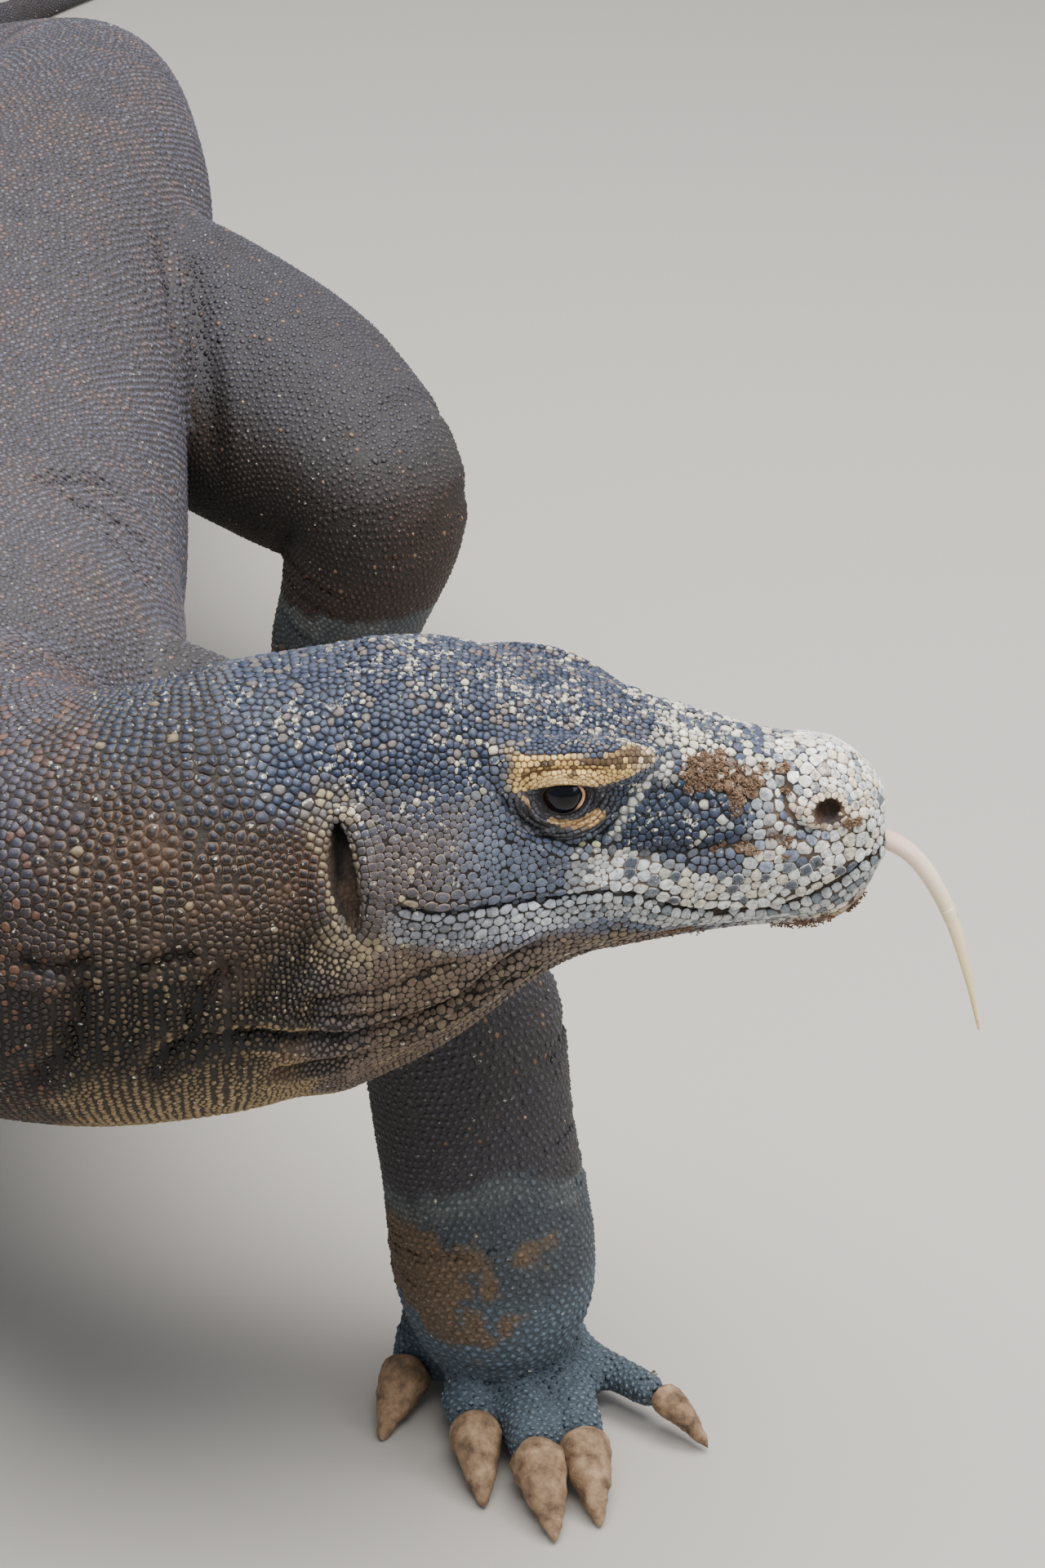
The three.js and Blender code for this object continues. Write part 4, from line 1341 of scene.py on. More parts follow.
    # cheeks and crown
    lay(front, (92, 100, 117), edge=(104, 104, 110), crease=(22, 21, 24))
    rear = front * ease(b + 10 * (mid - 0.5), 138, 170) * ease(z + 14 * (mid - 0.5), 342, 326)
    lay(rear * 0.85, (84, 77, 76), edge=(146, 128, 111), crease=(40, 32, 28))
    lay(rear * ease(mid, 0.4, 0.7) * 0.5, (78, 66, 60))
    lay(rear * (luck[:, 2] < 0.02) * 0.7, (176, 160, 130))
    crown = front * ease(up + 0.012 * (z - 340), 0.12, 0.5)
    lay(crown * 0.95, (60, 69, 90), edge=(86, 87, 97), crease=(20, 19, 23))
    lay(crown * (luck[:, 1] > 0.62) * 0.75, (38, 46, 66))
    lay(crown * (luck[:, 1] < 0.10 + 0.2 * ease(cloud(points, 9, 43), 0.45, 0.7)) * 0.8, (122, 112, 106))
    fleck = ease(cloud(points, 11, 41) + 0.2 * small, 0.45, 0.85)
    lay(crown * (luck[:, 0] < 0.01 + 0.05 * fleck) * ease(b, 185, 165) * 0.8, (210, 200, 172))
    chips += crown * (0.10 + 0.38 * fleck + 0.3 * ease(b, 112, 84)) + rear * 0.12 + front * (1 - crown) * 0.05

    # snout: white scales with slate smudges, slate ones between, dark before the eye
    edge_line = b + 22 * (mid - 0.5) + 9 * (small - 0.5) + 17 * ease(up, 0.3, 0.8) + 9 * (luck[:, 2] - 0.5)
    white = front * ease(edge_line, 57, 49)
    lay(white, (240, 238, 232), edge=(238, 234, 225), crease=(118, 98, 80))
    lay(white * ease(cloud(points, 9, 52), 0.5, 0.75) * 0.55, (236, 218, 184))
    lay(white * (luck[:, 2] < 0.24) * 0.7, (206, 216, 216))
    lay(white * (luck[:, 2] > 0.86) * 0.7, (238, 212, 176))
    lay(white * ease(cloud(points, 5, 53), 0.5, 0.66) * 0.75, crease=(66, 56, 52))
    on_top = white * ease(up, 0.3, 0.7) * ease(b, 12, 26) * ease(cloud(points, 8, 54), 0.34, 0.50)
    lay(on_top * 0.9, crease=(44, 48, 62))
    lay(on_top * (luck[:, 0] > 0.62) * 0.9, (74, 84, 108), edge=(120, 126, 140))
    lay(white * (luck[:, 1] < 0.28), middle=(132, 141, 158))
    lay(white * (luck[:, 0] < 0.09 + 0.12 * ease(z, 312, 300)), (142, 150, 164), middle=(104, 112, 128))
    lay(white * (luck[:, 0] < 0.04), (84, 90, 104))
    speckle = np.maximum(speckle, white * 0.5)
    lore = front * in_range(b, 54, 103, 7) * in_range(z, 303, 332, 4) * ease(up, 0.75, 0.45) * (1 - white)
    lay(lore, (50, 59, 76), edge=(70, 76, 89), crease=(14, 14, 18))
    lay(lore * (luck[:, 1] < 0.035) * 0.8, (200, 196, 180))
    chips += lore * 0.26
    between = front * in_range(b, 40, 84, 8) * ease(z, 324, 333) * (1 - white)
    lay(between * 0.85, (68, 76, 96), edge=(98, 99, 107), crease=(36, 34, 38))
    lay(between * (luck[:, 2] < 0.42) * 0.9, (230, 223, 203))

    # lips: pale with dark middles, whitest below the eye; grey rows under the rear of the mouth
    over_mouth = over_line(points, MOUTH)
    lip_end = b + 16 * (small - 0.5) + 10 * (luck[:, 2] - 0.5)
    upper = front * in_range(over_mouth, 0, 17.5, 1.5) * ease(lip_end, 118, 106) * (o > 6)
    lay(upper * 0.95, (214, 217, 211), edge=(204, 202, 192), crease=(78, 68, 58))
    lay(upper * (luck[:, 1] < 0.36) * 0.8, (220, 212, 190))
    lay(upper * (luck[:, 0] < 0.20) * 0.9, (78, 88, 106), edge=(204, 202, 194), middle=(14, 20, 34))
    lay(upper * (luck[:, 0] < 0.08) * 0.9, (86, 97, 112))
    bright = upper * in_range(b, 84, 116, 5) * in_range(z, 288, 303, 2.5)
    lay(bright * 0.9, (234, 238, 240), edge=(206, 204, 198), crease=(124, 112, 100))
    lay(bright * (luck[:, 0] < 0.14) * 0.9, (60, 70, 92), edge=(216, 216, 212), middle=(12, 18, 34))
    lower = front * in_range(over_mouth, -12, 0, 1.5) * ease(lip_end, 124, 108)
    lay(lower * 0.9, (186, 189, 188), edge=(164, 162, 156), crease=(66, 58, 50))
    lay(lower * (luck[:, 0] < 0.25) * 0.8, (100, 110, 118))
    speckle = np.maximum(speckle, np.maximum(upper, lower) * 0.5)
    rows_behind = front * in_range(over_mouth, -15, -1, 1.5) * ease(lip_end, 108, 124) * ease(b, 186, 170)
    lay(rows_behind * 0.85, (164, 168, 174), edge=(142, 140, 139), crease=(38, 33, 30))
    lay(rows_behind * (luck[:, 0] < 0.22) * 0.85, (198, 202, 202))
    lay(rows_behind * ease(b, 136, 158) * 0.7, (92, 94, 102))

    # throat and jaw: tan scales in dark brown creases
    jaw = front * ease(over_mouth + 5 * (small - 0.5), -14, -22) * ease(b, 40, 70)
    lay(jaw * 0.9, (104, 88, 73), edge=(86, 71, 58), crease=(32, 25, 19))
    lay(jaw * (luck[:, 1] < 0.14) * 0.7, (140, 124, 100))
    chips *= 1 - jaw
    lay(front * ease(over_mouth, -10, -18) * ease(b, 74, 50) * 0.8, (140, 115, 92))

    # ear: a slit painted dark as shade, in a ring of pale scales
    ear = head_field(points, "ear")
    fore_part = part < TRUNK
    behind = ease(b, 190, 199) + ease(z, 292, 282)
    ring = in_range(ear, 4.5, 9 + 6 * behind, 2.0) * ease(cloud(points, 12, 81) + 0.15 * behind, 0.3, 0.6)
    lay(fore_part * ring * (0.2 + 0.55 * (luck[:, 1] < 0.5)), (166, 150, 118), crease=(84, 69, 53))
    inner_wall = ease(b, 199, 195) * ease(z, 318, 306)
    # painted shade in the slit: dark brown, and near-black deeper in
    lay(fore_part * ease(ear, 5.0, 2.6), (44, 37, 33), crease=(52, 43, 37))
    lay(fore_part * ease(ear, 3.4, 2.0), (10, 9, 8), crease=(10, 9, 8))
    lay(fore_part * ease(ear, 4.0, 3.0) * ease(z, 304, 298) * 0.9, (120, 100, 82), crease=(112, 92, 74))
    lay(fore_part * ease(ear, 5.0, 3.0) * inner_wall * 0.7, (98, 82, 70), crease=(92, 77, 66))

    # brow band, lids, the bag under the eye and the pale stripe before it
    gap = eye_gap(points)
    lid_line = over_line(points, LID_MARGIN)
    inner = np.interp(b, (86, 96, 104, 137), (28, 32.5, 35, 35.5))
    brow = in_range(b + 5 * (small - 0.5), 86, 137, 2.5) * ease(z + 3.0 * (small - 0.5), 346.4, 345.0)
    brow = front * brow * ease(lid_line, -0.8, 0.8) * ease(o + 1.5 * (small - 0.5), inner - 1.2, inner + 1.2)
    lay(brow * 0.97, (242, 206, 134), edge=(222, 182, 110), crease=(124, 88, 54))
    roll = brow * ease(lid_line, 6, 4) * ease(gap, 2.0, 1.7)
    lay(roll, (240, 208, 146), edge=(236, 198, 126), crease=(176, 134, 82))
    lay(brow * ease(b, 98, 90) * 0.6, (212, 208, 192))
    blotch = ease(cloud(points, 4.4, 61) + 0.2 * (luck[:, 0] - 0.5), 0.47, 0.57)
    blotch = brow * blotch * in_range(z, 338.5, 345.5, 1)
    lay(blotch * 0.92, (70, 52, 43), crease=(60, 43, 33))
    speckle = np.maximum(speckle * (1 - brow), brow * 0.25)
    bag = front * ease(gap, 2.75, 2.35) * ease(lid_line, 1.5, -1.5)
    lay(bag * 0.95, (78, 78, 84), crease=(42, 38, 38))
    lay(bag * ease(gap, 1.5, 1.25) * ease(lid_line, -1, -3) * 0.8, (46, 42, 44), crease=(28, 25, 26))
    chips *= 1 - np.maximum(bag, brow)
    crescent = head_field(points, "crescent") + 3.2 * (small - 0.5) - 0.9 * ease(b, 124, 114)
    patchy = ease(cloud(points, 3.4, 72) + 0.2 * in_range(b, 106, 124, 3), 0.30, 0.44)
    crescent = front * ease(crescent, 1.2, 0.4) * patchy
    lay(crescent * 0.9, (222, 186, 132), crease=(186, 146, 98))
    stripe = front * ease(head_field(points, "stripe") + 3.0 * (small - 0.5), 2.8, 1.4)
    lay(stripe * 0.85 * (luck[:, 0] > 0.12), (196, 196, 190), crease=(140, 137, 130))
    for tick_back, tick_height in ((111.8, 309.5), (108.6, 308.8)):
        round_spot = front * (np.hypot(b - tick_back, z - tick_height) < 1.5) * (points[:, 1] < HEAD_Y)
        lay(round_spot * 0.9, (194, 190, 152))
    for s in SIDES:
        spot = np.linalg.norm((points - nostrils[s]) / (5.2, 9, 4.7), axis=1)
        lay(front * in_range(spot, 1.05, 1.6, 0.1) * 0.6, (212, 186, 152))
        lay(front * ease(spot, 1.05, 0.8), (88, 66, 50), crease=(82, 60, 45))

    # dry mud on the snout and along the lip, and in patches on the neck
    mud = np.maximum(mud_on_head(points) * front,
                     neck * ease(cloud(points, 22, 97) + 0.3 * small, 0.86, 1.0) * ease(z, 335, 320) * 0.3)
    lay(mud * 0.9, (124, 97, 75), crease=(112, 88, 68))

    # scales differ in brightness at random; in grooves, scales and creases get painted shade
    shade = (0.86 + 0.28 * luck[:, 1]) * (0.92 + 0.16 * big) * (1 - 0.62 * ease(groove, 0.10, 0.9))
    coat["crease"] = coat["crease"] * ((0.9 + 0.2 * small) * (1 - 0.6 * ease(groove, 0.1, 0.9)))[:, None]
    for ring in ("middle", "top", "edge"):
        coat[ring] = coat[ring] * shade[:, None]
    return coat, speckle, chips


MUD_SPOTS = rows("""
68.5 328 9.6 6.0
60 325.5 6.5 3.8
53 322.8 4.0 3.0
57.3 318 2.4 4.6
47.3 327 1.8 1.6
40.3 326 1.7 1.6
39.4 319 1.7 1.5
64 302 2.4 1.5
55.7 302 2.6 1.6
51.3 299.4 1.8 1.5
39.2 302 2.2 1.5
39.7 296 1.7 1.5""")  # back, height, and the spot's two half sizes


def mud_on_head(points):
    """Where dry mud clings to the head: patches on the snout's right side, the lip groove and the chin."""
    b, o, z = head_place(points)
    ragged = 0.7 * (cloud(points, 5, 91) - 0.5) + 0.4 * (cloud(points, 2.0, 92) - 0.5)
    patch = np.zeros(len(points))
    for back, height, long, tall in MUD_SPOTS:
        patch = np.maximum(patch, ease(np.hypot((b - back) / long, (z - height) / tall) + ragged, 1.08, 0.92))
    patch *= (o > 4) & (points[:, 1] < HEAD_Y)
    on_groove = ease(head_field(points, "groove"), 2.4, 1.2) * ease(b, 66, 50)
    on_groove *= ease(cloud(points, 7, 93), 0.5, 0.6)
    chin = ease(over_line(points, MOUTH), -11, -16) * ease(b, 88, 74) * ease(cloud(points, 7, 95), 0.5, 0.64)
    return np.maximum(patch, np.maximum(on_groove * 0.7, chin * 0.6))


# Grooves are painted darker, as shade: how far the skin lies below its own smoothed shape, in millimetres.
smooth_copy = skin.copy()
relax(smooth_copy, 0.5, 10)
hollow = np.sum((points_of(smooth_copy) - clay.points) * clay.out, axis=1)
bpy.data.meshes.remove(smooth_copy)
print("deepest groove", round(float(hollow.max()), 2), "mm")


# %% Colours for every scale
count = len(seeds)
luck = chance.random((count, 3))
groove = hollow[face_points[faces]].mean(axis=1)
coat, speckle, chips = hide_colours(places, out, part, luck, groove)
print("scales painted")

# %% [markdown]
# ## One scale, many times
# Every scale is a low dome over its own cell: the ground nearer to it than to its neighbours. The cell's
# reach is measured in six or eight directions, so scales meet along straight creases as real ones do. On
# face and neck a dome has three rings: one hidden in the skin, one at its shoulder and one near its top. On
# the throat it has two, and behind the shoulder only the hidden one. One point closes each. The neck's beads
# fill only part of their cells, and the snout's scales are flat pillows. They are set out in arrays, since
# each has its own outline.
# %% The skin that lies under them


def uv_of_skin():
    """Unwrap the skin by its own shape."""
    piece = placed("unwrap", skin)
    bpy.context.view_layer.objects.active = piece
    piece.select_set(True)
    skin.uv_layers.new(name="OFBake")
    bpy.ops.object.mode_set(mode="EDIT")
    bpy.ops.mesh.select_all(action="SELECT")
    bpy.ops.uv.smart_project(angle_limit=math.radians(66), island_margin=0.002)
    bpy.ops.object.mode_set(mode="OBJECT")
    bpy.data.objects.remove(piece)


SKIN_FACES = 188000
full = sum(len(face.vertices) - 2 for face in skin.polygons)
skin = worked(skin, "DECIMATE", ratio=SKIN_FACES / full, use_collapse_triangulate=True)
skin.name = "skin"
uv_of_skin()
skin.shade_smooth()
print("skin:", len(skin.polygons), "faces from", full)


# %% Where each scale's root lies on the skin's unwrap
class Ground:
    """The finished skin, asked where on its unwrap the nearest place lies."""

    def __init__(self, mesh):
        self.points = points_of(mesh)
        flat = np.empty(len(mesh.polygons) * 3, np.int32)
        mesh.polygons.foreach_get("vertices", flat)
        self.faces = flat.reshape(-1, 3)
        self.tree = BVHTree.FromPolygons(self.points.tolist(), self.faces.tolist())
        flat = np.empty(len(mesh.loops) * 2, np.float32)
        mesh.uv_layers["OFBake"].uv.foreach_get("vector", flat)
        self.unwrap = flat.reshape(-1, 3, 2)

    def under(self, places):
        nearest = self.tree.find_nearest
        face = np.empty(len(places), int)
        spots = np.empty((len(places), 3))
        for i, place in enumerate(places.tolist()):
            spot, _, face[i], _ = nearest(place)
            spots[i] = spot
        a, b, c = (self.points[self.faces[face, k]] for k in range(3))
        normal = np.cross(b - a, c - a)
        size = np.maximum(np.sum(normal * normal, axis=1), 1e-12)
        wb = np.sum(np.cross(spots - a, c - a) * normal, axis=1) / size
        wc = np.sum(np.cross(b - a, spots - a) * normal, axis=1) / size
        weights = np.clip(np.column_stack((1 - wb - wc, wb, wc)), 0, 1)
        return np.sum(self.unwrap[face] * weights[:, :, None], axis=1)


ground = Ground(skin)
root_uv = ground.under(places)
skin_points, skin_out = points_of(skin), normals_of(skin)
scale_tree = tree_of(places)
owner = np.array([scale_tree.find(point)[1] for point in skin_points.tolist()])
even_luck = np.full((len(skin_points), 3), 0.5)
no_groove = np.zeros(len(skin_points))
skin_colour = hide_colours(skin_points, skin_out, part[owner], even_luck, no_groove)[0]["crease"]
print("skin painted")


# %% Cells
def cells(places, along, aside, sizes, directions):
    """How far each scale's cell reaches in each direction, in shares of its own pitch."""
    near = neighbours(places, 12)
    gap = places[near] - places[:, None]
    flat = np.stack((np.sum(gap * along[:, None], axis=2) / sizes[:, None, 0],
                     np.sum(gap * aside[:, None], axis=2) / sizes[:, None, 1]), axis=2)
    own = sizes.mean(axis=1)
    share = own[:, None] / (own[:, None] + own[near])
    reach = np.sum(flat * flat, axis=2) * share
    angle = np.arange(directions) / directions * 2 * math.pi
    toward = np.stack((np.cos(angle), np.sin(angle)), axis=1)
    dot = np.einsum("nkc,dc->nkd", flat, toward)
    limit = np.where(dot > 0.02, reach[:, :, None] / np.maximum(dot, 0.02), 9)
    return np.minimum(limit.min(axis=1), 0.72), toward


KINDS = {
    # height, reach and height of the shoulder, reach of the top, as shares of the scale's size or height
    "plain": (0.21, 0.90, 0.40, 0.66), "body": (0.17, 0.90, 0.40, 0.62), "crown": (0.28, 0.90, 0.45, 0.60),
    "nape": (0.35, 0.87, 0.32, 0.52), "bead": (0.37, 0.83, 0.22, 0.54), "pillow": (0.12, 0.965, 0.60, 0.84),
    "cheek": (0.15, 0.94, 0.55, 0.74), "throat": (0.25, 0.88, 0.40, 0.58), "foot": (0.16, 0.92, 0.50, 0.74)}


def scale_kinds(points, out, part, sizes):
    """For each scale its height, the reach and height of its shoulder, and the reach of its top."""
    b, o, z = head_place(points)
    own = sizes.mean(axis=1)
    kinds = np.tile(KINDS["plain"], (len(points), 1))
    neck = neck_share(points, part)
    lips = (part == FACE) * in_range(over_line(points, MOUTH), -14, 18, 2) * ease(b, 122, 110)
    for name, amount in (("crown", (part == FACE) * ease(out[:, 2], 0.3, 0.6)),
                         ("cheek", (part == FACE) * ease(b, 98, 110) * ease(z, 340, 330)),
                         ("pillow", np.maximum((part == FACE) * ease(b, 62, 50), lips)),
                         ("throat", (part == GULAR) * 1.0),
                         ("bead", neck * ease(z, 240, 262) * ease(z, 350, 330)),
                         ("nape", neck * ease(z, 322, 342)),
                         ("plain", shoulder_share(points, neck)),
                         ("body", (part >= TRUNK) * 1.0), ("foot", (part == FOOT) * 1.0)):
        kinds = paint(kinds, np.array(KINDS[name]), amount)
    height, shoulder, shoulder_height, top = kinds.T
    brow = in_range(b, 87, 137, 3) * in_range(z, 333, 346, 1) * (o > 28)
    lids = np.maximum(ease(eye_gap(points), 2.5, 2.1), brow)
    belly = (part >= TRUNK) * ease(out[:, 2], -0.5, -0.8)
    height = height * own * (1 - 0.68 * lids) * (1 - 0.4 * belly)
    return np.minimum(height, 1.75), shoulder, shoulder_height, top


sizes = seeds[:, PITCH]
rise, shoulder_reach, shoulder_rise, top_reach = scale_kinds(places, out, part, sizes)
rise = rise * (0.86 + 0.28 * luck[:, 2])
TILT = 0.08  # a scale's top leans back, along the lie
root_depth = np.where(part < TRUNK, 0.45, 0.30)


def scale_mesh(name, chosen, directions, rings):
    """The chosen scales as one plain mesh of domes with one, two or three rings."""
    reach, toward = cells(places, along, aside, sizes, directions)
    reach = reach[chosen]
    n, m = len(reach), directions
    size = sizes[chosen]
    spread = reach[:, :, None] * toward[None] * size[:, None]
    base_at, lie, across, up = places[chosen], along[chosen], aside[chosen], out[chosen]
    high = rise[chosen]
    tilt = chance.normal(0, 0.05 * (rings > 1), (n, m))

    def ring(share, height, lean=0.0):
        flat = spread * np.reshape(share, (-1, 1, 1))
        offset = flat[:, :, :1] * lie[:, None] + flat[:, :, 1:] * across[:, None]
        lift = up[:, None] * (np.reshape(height, (-1, 1)) * (1 + tilt))[:, :, None]
        return base_at[:, None] + offset + lift + (lie * size[:, :1] * lean)[:, None]

    levels = [(ring(1.0, -root_depth[chosen]), "crease")]
    if rings > 2:
        levels.append((ring(shoulder_reach[chosen], high * shoulder_rise[chosen], TILT * 0.2), "edge"))
    if rings > 1:
        levels.append((ring(top_reach[chosen], high * 0.84, TILT * 0.6), "top"))
    drift = chance.normal(0, 0.07 * (rings > 1), (n, 2)) * size
    tip = base_at + up * high[:, None] + lie * (size[:, :1] * TILT + drift[:, :1]) + across * drift[:, 1:]
    points = np.concatenate((*(level for level, _ in levels), tip[:, None]), axis=1).reshape(-1, 3)
    k = np.arange(m)
    j = (k + 1) % m
    last = (rings - 1) * m
    pattern = [np.column_stack((last + k, last + j, np.full(m, last + m))),
               np.column_stack((np.zeros(m - 2, int), np.arange(2, m), np.arange(1, m - 1)))]
    for lower in range(0, last, m):
        pattern += [np.column_stack((lower + k, lower + j, lower + m + j)),
                    np.column_stack((lower + k, lower + m + j, lower + m + k))]
    pattern = np.vstack(pattern)
    step = last + m + 1
    triangles = (pattern[None] + (np.arange(n) * step)[:, None, None]).reshape(-1, 3)
    colours = np.ones((n, step, 3))
    patch = np.zeros((n, step, 2))
    for i, (_, tint) in enumerate(levels):
        colours[:, i * m:(i + 1) * m] = coat[tint][chosen][:, None]
        patch[:, i * m:(i + 1) * m] = toward * (0.0015 - 0.0003 * i)
    # painted highlight: each scale's tip is 4% lighter than its middle colour
    colours[:, -1] = coat["middle"][chosen] * 1.04
    patch = (patch + root_uv[chosen][:, None]).reshape(-1, 2)
    marks = {"speckle": np.repeat(speckle[chosen], step), "chips": np.repeat(chips[chosen], step)}
    return plain_mesh(name, points, triangles, colours.reshape(-1, 3), marks, patch[triangles.ravel()])


def to_frame(points):
    return points / 1000 + SHIFT


def store_colours(mesh, name, colours):
    """Colours on the points of a mesh, given as red, green and blue."""
    rgba = np.column_stack((colours, np.ones(len(colours)))).astype(np.float32)
    mesh.color_attributes.new(name, "FLOAT_COLOR", "POINT").data.foreach_set("color", rgba.ravel())


def plain_mesh(name, points, triangles, colours, marks, unwrap):
    mesh = bpy.data.meshes.new(name)
    mesh.vertices.add(len(points))
    mesh.vertices.foreach_set("co", to_frame(points).astype(np.float32).ravel())
    mesh.loops.add(triangles.size)
    mesh.loops.foreach_set("vertex_index", triangles.astype(np.int32).ravel())
    mesh.polygons.add(len(triangles))
    mesh.polygons.foreach_set("loop_start", np.arange(0, triangles.size, 3, dtype=np.int32))
    mesh.update(calc_edges=True)
    mesh.uv_layers.new(name="OFBake").uv.foreach_set("vector", unwrap.astype(np.float32).ravel())
    store_colours(mesh, "hide", colours)
    for mark, values in marks.items():
        mesh.attributes.new(mark, "FLOAT", "POINT").data.foreach_set("value", values.astype(np.float32))
    mesh.shade_smooth()
    mesh.validate()
    return mesh


# %% [markdown]
# ## Materials
# The hide's colour is stored on its points; the material adds what is finer than a scale: dust, small pits
# and a dull sheen. Dark, blue scales are smoother than pale, dusty ones, so the roughness follows the
# colour.
# %% Materials of the hide, claws, eyes and tongue


def node(tree, kind, *sources, **settings):
    """A new node. Lower-case settings are its properties, the others its inputs, as are sources, by order.

    A socket is joined to its input, and any other value is set there.
    """
    made = tree.nodes.new(kind)
    for key, value in (*settings.items(), *enumerate(sources)):
        if isinstance(key, str) and key[0].islower():
            setattr(made, key, value)
            continue
        put = made.inputs[key.replace("_", " ") if isinstance(key, str) else key]
        if isinstance(value, bpy.types.NodeSocket):
            tree.links.new(value, put)
        else:
            put.default_value = value
    return made


def new_material(name):
    """A material with its tree, its shader's inputs, and the place of a point on its object."""
    material = bpy.data.materials.new(name)
    material.use_nodes = True
    tree = material.node_tree
    place = tree.nodes.new("ShaderNodeTexCoord").outputs["Object"]
    return material, tree, tree.nodes["Principled BSDF"].inputs, place


def noise(tree, place, scale, detail, roughness=0.5):
    made = node(tree, "ShaderNodeTexNoise", Vector=place, Scale=scale, Detail=detail, Roughness=roughness)
    return made.outputs["Fac"]


def ramp(tree, source, *stops):
    """Colours, or shares of grey, at places along a source."""
    made = node(tree, "ShaderNodeValToRGB", Fac=source)
    while len(made.color_ramp.elements) < len(stops):
        made.color_ramp.elements.new(0.5)
    for element, (position, colour) in zip(made.color_ramp.elements, stops):
        element.position = position
        element.color = (*([colour] * 3 if np.ndim(colour) == 0 else colour), 1)
    return made.outputs["Color"]


def stored_colour(tree, name):
    return node(tree, "ShaderNodeVertexColor", layer_name=name).outputs["Color"]


def stored_value(tree, name):
    return node(tree, "ShaderNodeAttribute", attribute_name=name).outputs["Fac"]


def blend(tree, first, second, amount=1.0, how="MULTIPLY"):
    made = node(tree, "ShaderNodeMix", data_type="RGBA", blend_type=how, Factor=amount, A=first, B=second)
    return made.outputs["Result"]


def roughen(tree, shader, height, strength, distance, invert=False):
    """Let a height tilt the surface."""
    relief = node(tree, "ShaderNodeBump", Strength=strength, Distance=distance, Height=height, invert=invert)
    tree.links.new(relief.outputs["Normal"], shader["Normal"])


def hide_material(name, smooth, rough, grain_size, bump):
    """A hide finish: stored colour, mottled by noise, with roughness that follows the colour."""
    material, tree, shader, place = new_material(name)
    colour = stored_colour(tree, "hide")
    dust = ramp(tree, noise(tree, place, 420.0, 3.0, 0.6), (0.32, 0.66), (0.68, 1.28))
    spots = ramp(tree, noise(tree, place, 640.0, 2.0), (0.54, 0.0), (0.62, 1.0))
    strength = node(tree, "ShaderNodeMath", spots, stored_value(tree, "speckle"), operation="MULTIPLY")
    speckled = blend(tree, blend(tree, colour, dust), (0.24, 0.27, 0.33, 1), strength.outputs["Value"])
    patches = noise(tree, place, 360.0, 4.0, 0.6)
    wear = node(tree, "ShaderNodeMath", stored_value(tree, "chips"), 0.24, patches, operation="MULTIPLY_ADD")
    worn = ramp(tree, wear.outputs["Value"], (0.66, 0.0), (0.71, 0.85))
    chipped = blend(tree, speckled, (*tone(210, 203, 184), 1), worn, "MIX")
    tree.links.new(chipped, shader["Base Color"])
    tree.links.new(ramp(tree, colour, (0.02, smooth), (0.22, rough)), shader["Roughness"])
    roughen(tree, shader, noise(tree, place, grain_size, 4.0, 0.65), bump, 0.0004)
    shader["Specular IOR Level"].default_value = 0.23
    return material


def granular_material():
    """The skin between the scales: small granules, dry and dull."""
    material, tree, shader, place = new_material("hide_skin")
    granules = node(tree, "ShaderNodeTexVoronoi", Vector=place, Scale=620.0).outputs["Distance"]
    shade = ramp(tree, granules, (0.15, 1.12), (0.75, 0.62))
    tree.links.new(blend(tree, stored_colour(tree, "hide"), shade), shader["Base Color"])
    shader["Roughness"].default_value = 0.82
    roughen(tree, shader, granules, 0.8, 0.0005, invert=True)
    return material


scale_finish = hide_material("hide_scales", 0.33, 0.62, 900.0, 0.5)
skin_finish = granular_material()
print("hide materials made")


# %% The skin as a piece
def link_piece(name, mesh, material):
    piece = placed(name, mesh)
    mesh.materials.clear()
    mesh.materials.append(material)
    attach(piece, "root")
    return piece


store_colours(skin, "hide", skin_colour)
set_points(skin, to_frame(skin_points))
skin_piece = link_piece("skin", skin, skin_finish)
flesh = ["head", "jaw", "neck", "chest", "belly", "pelvis"]
flesh += [f"tail_{name}" for name in ("base", "middle", "rear", "tip")]
for leg in LEGS:
    names = ("upper_arm", "forearm", "hand") if leg.startswith("fore") else ("thigh", "shank", "foot")
    flesh += [f"{leg}_{name}" for name in names]
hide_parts(*flesh)
print("skin stands for", len(flesh), "solids")

# %% The coat as pieces
# a group of pieces, its part, and the directions and rings of its scales
COAT_PIECES = (("face", FACE, 8, 3), ("neck", NECK, 8, 3), ("throat", GULAR, 6, 2), ("trunk", TRUNK, 6, 1),
               ("tail", TAIL, 6, 1), ("legs", LEG, 6, 1), ("feet", FOOT, 6, 1))
PIECE_FACES = 190000  # the most that one piece of the coat may have
coat_faces = 0
for group, number, directions, rings in COAT_PIECES:
    mine = np.flatnonzero(part == number)
    each = 2 * rings * directions - 2
    pieces_needed = math.ceil(len(mine) * each / PIECE_FACES)
    mine = mine[np.argsort(places[mine, 1], kind="stable")]
    for i, chosen in enumerate(np.array_split(mine, pieces_needed)):
        name = f"scales_{group}_{i + 1}"
        mesh = scale_mesh(name, chosen, directions, rings)
        link_piece(name, mesh, scale_finish)
        coat_faces += len(mesh.polygons)
        print(name, len(chosen), "scales,", len(mesh.polygons), "faces")
print("coat of", coat_faces, "faces")

# %% [markdown]
# ## Crumbs of mud
# Mud that has dried on the snout, along the lip and under the chin is a heap of small crumbs, not a colour.
# A Geometry Nodes tree sets a small lump on each of many points, turned and sized at random from a fixed
# seed.
# %% The crumb tree


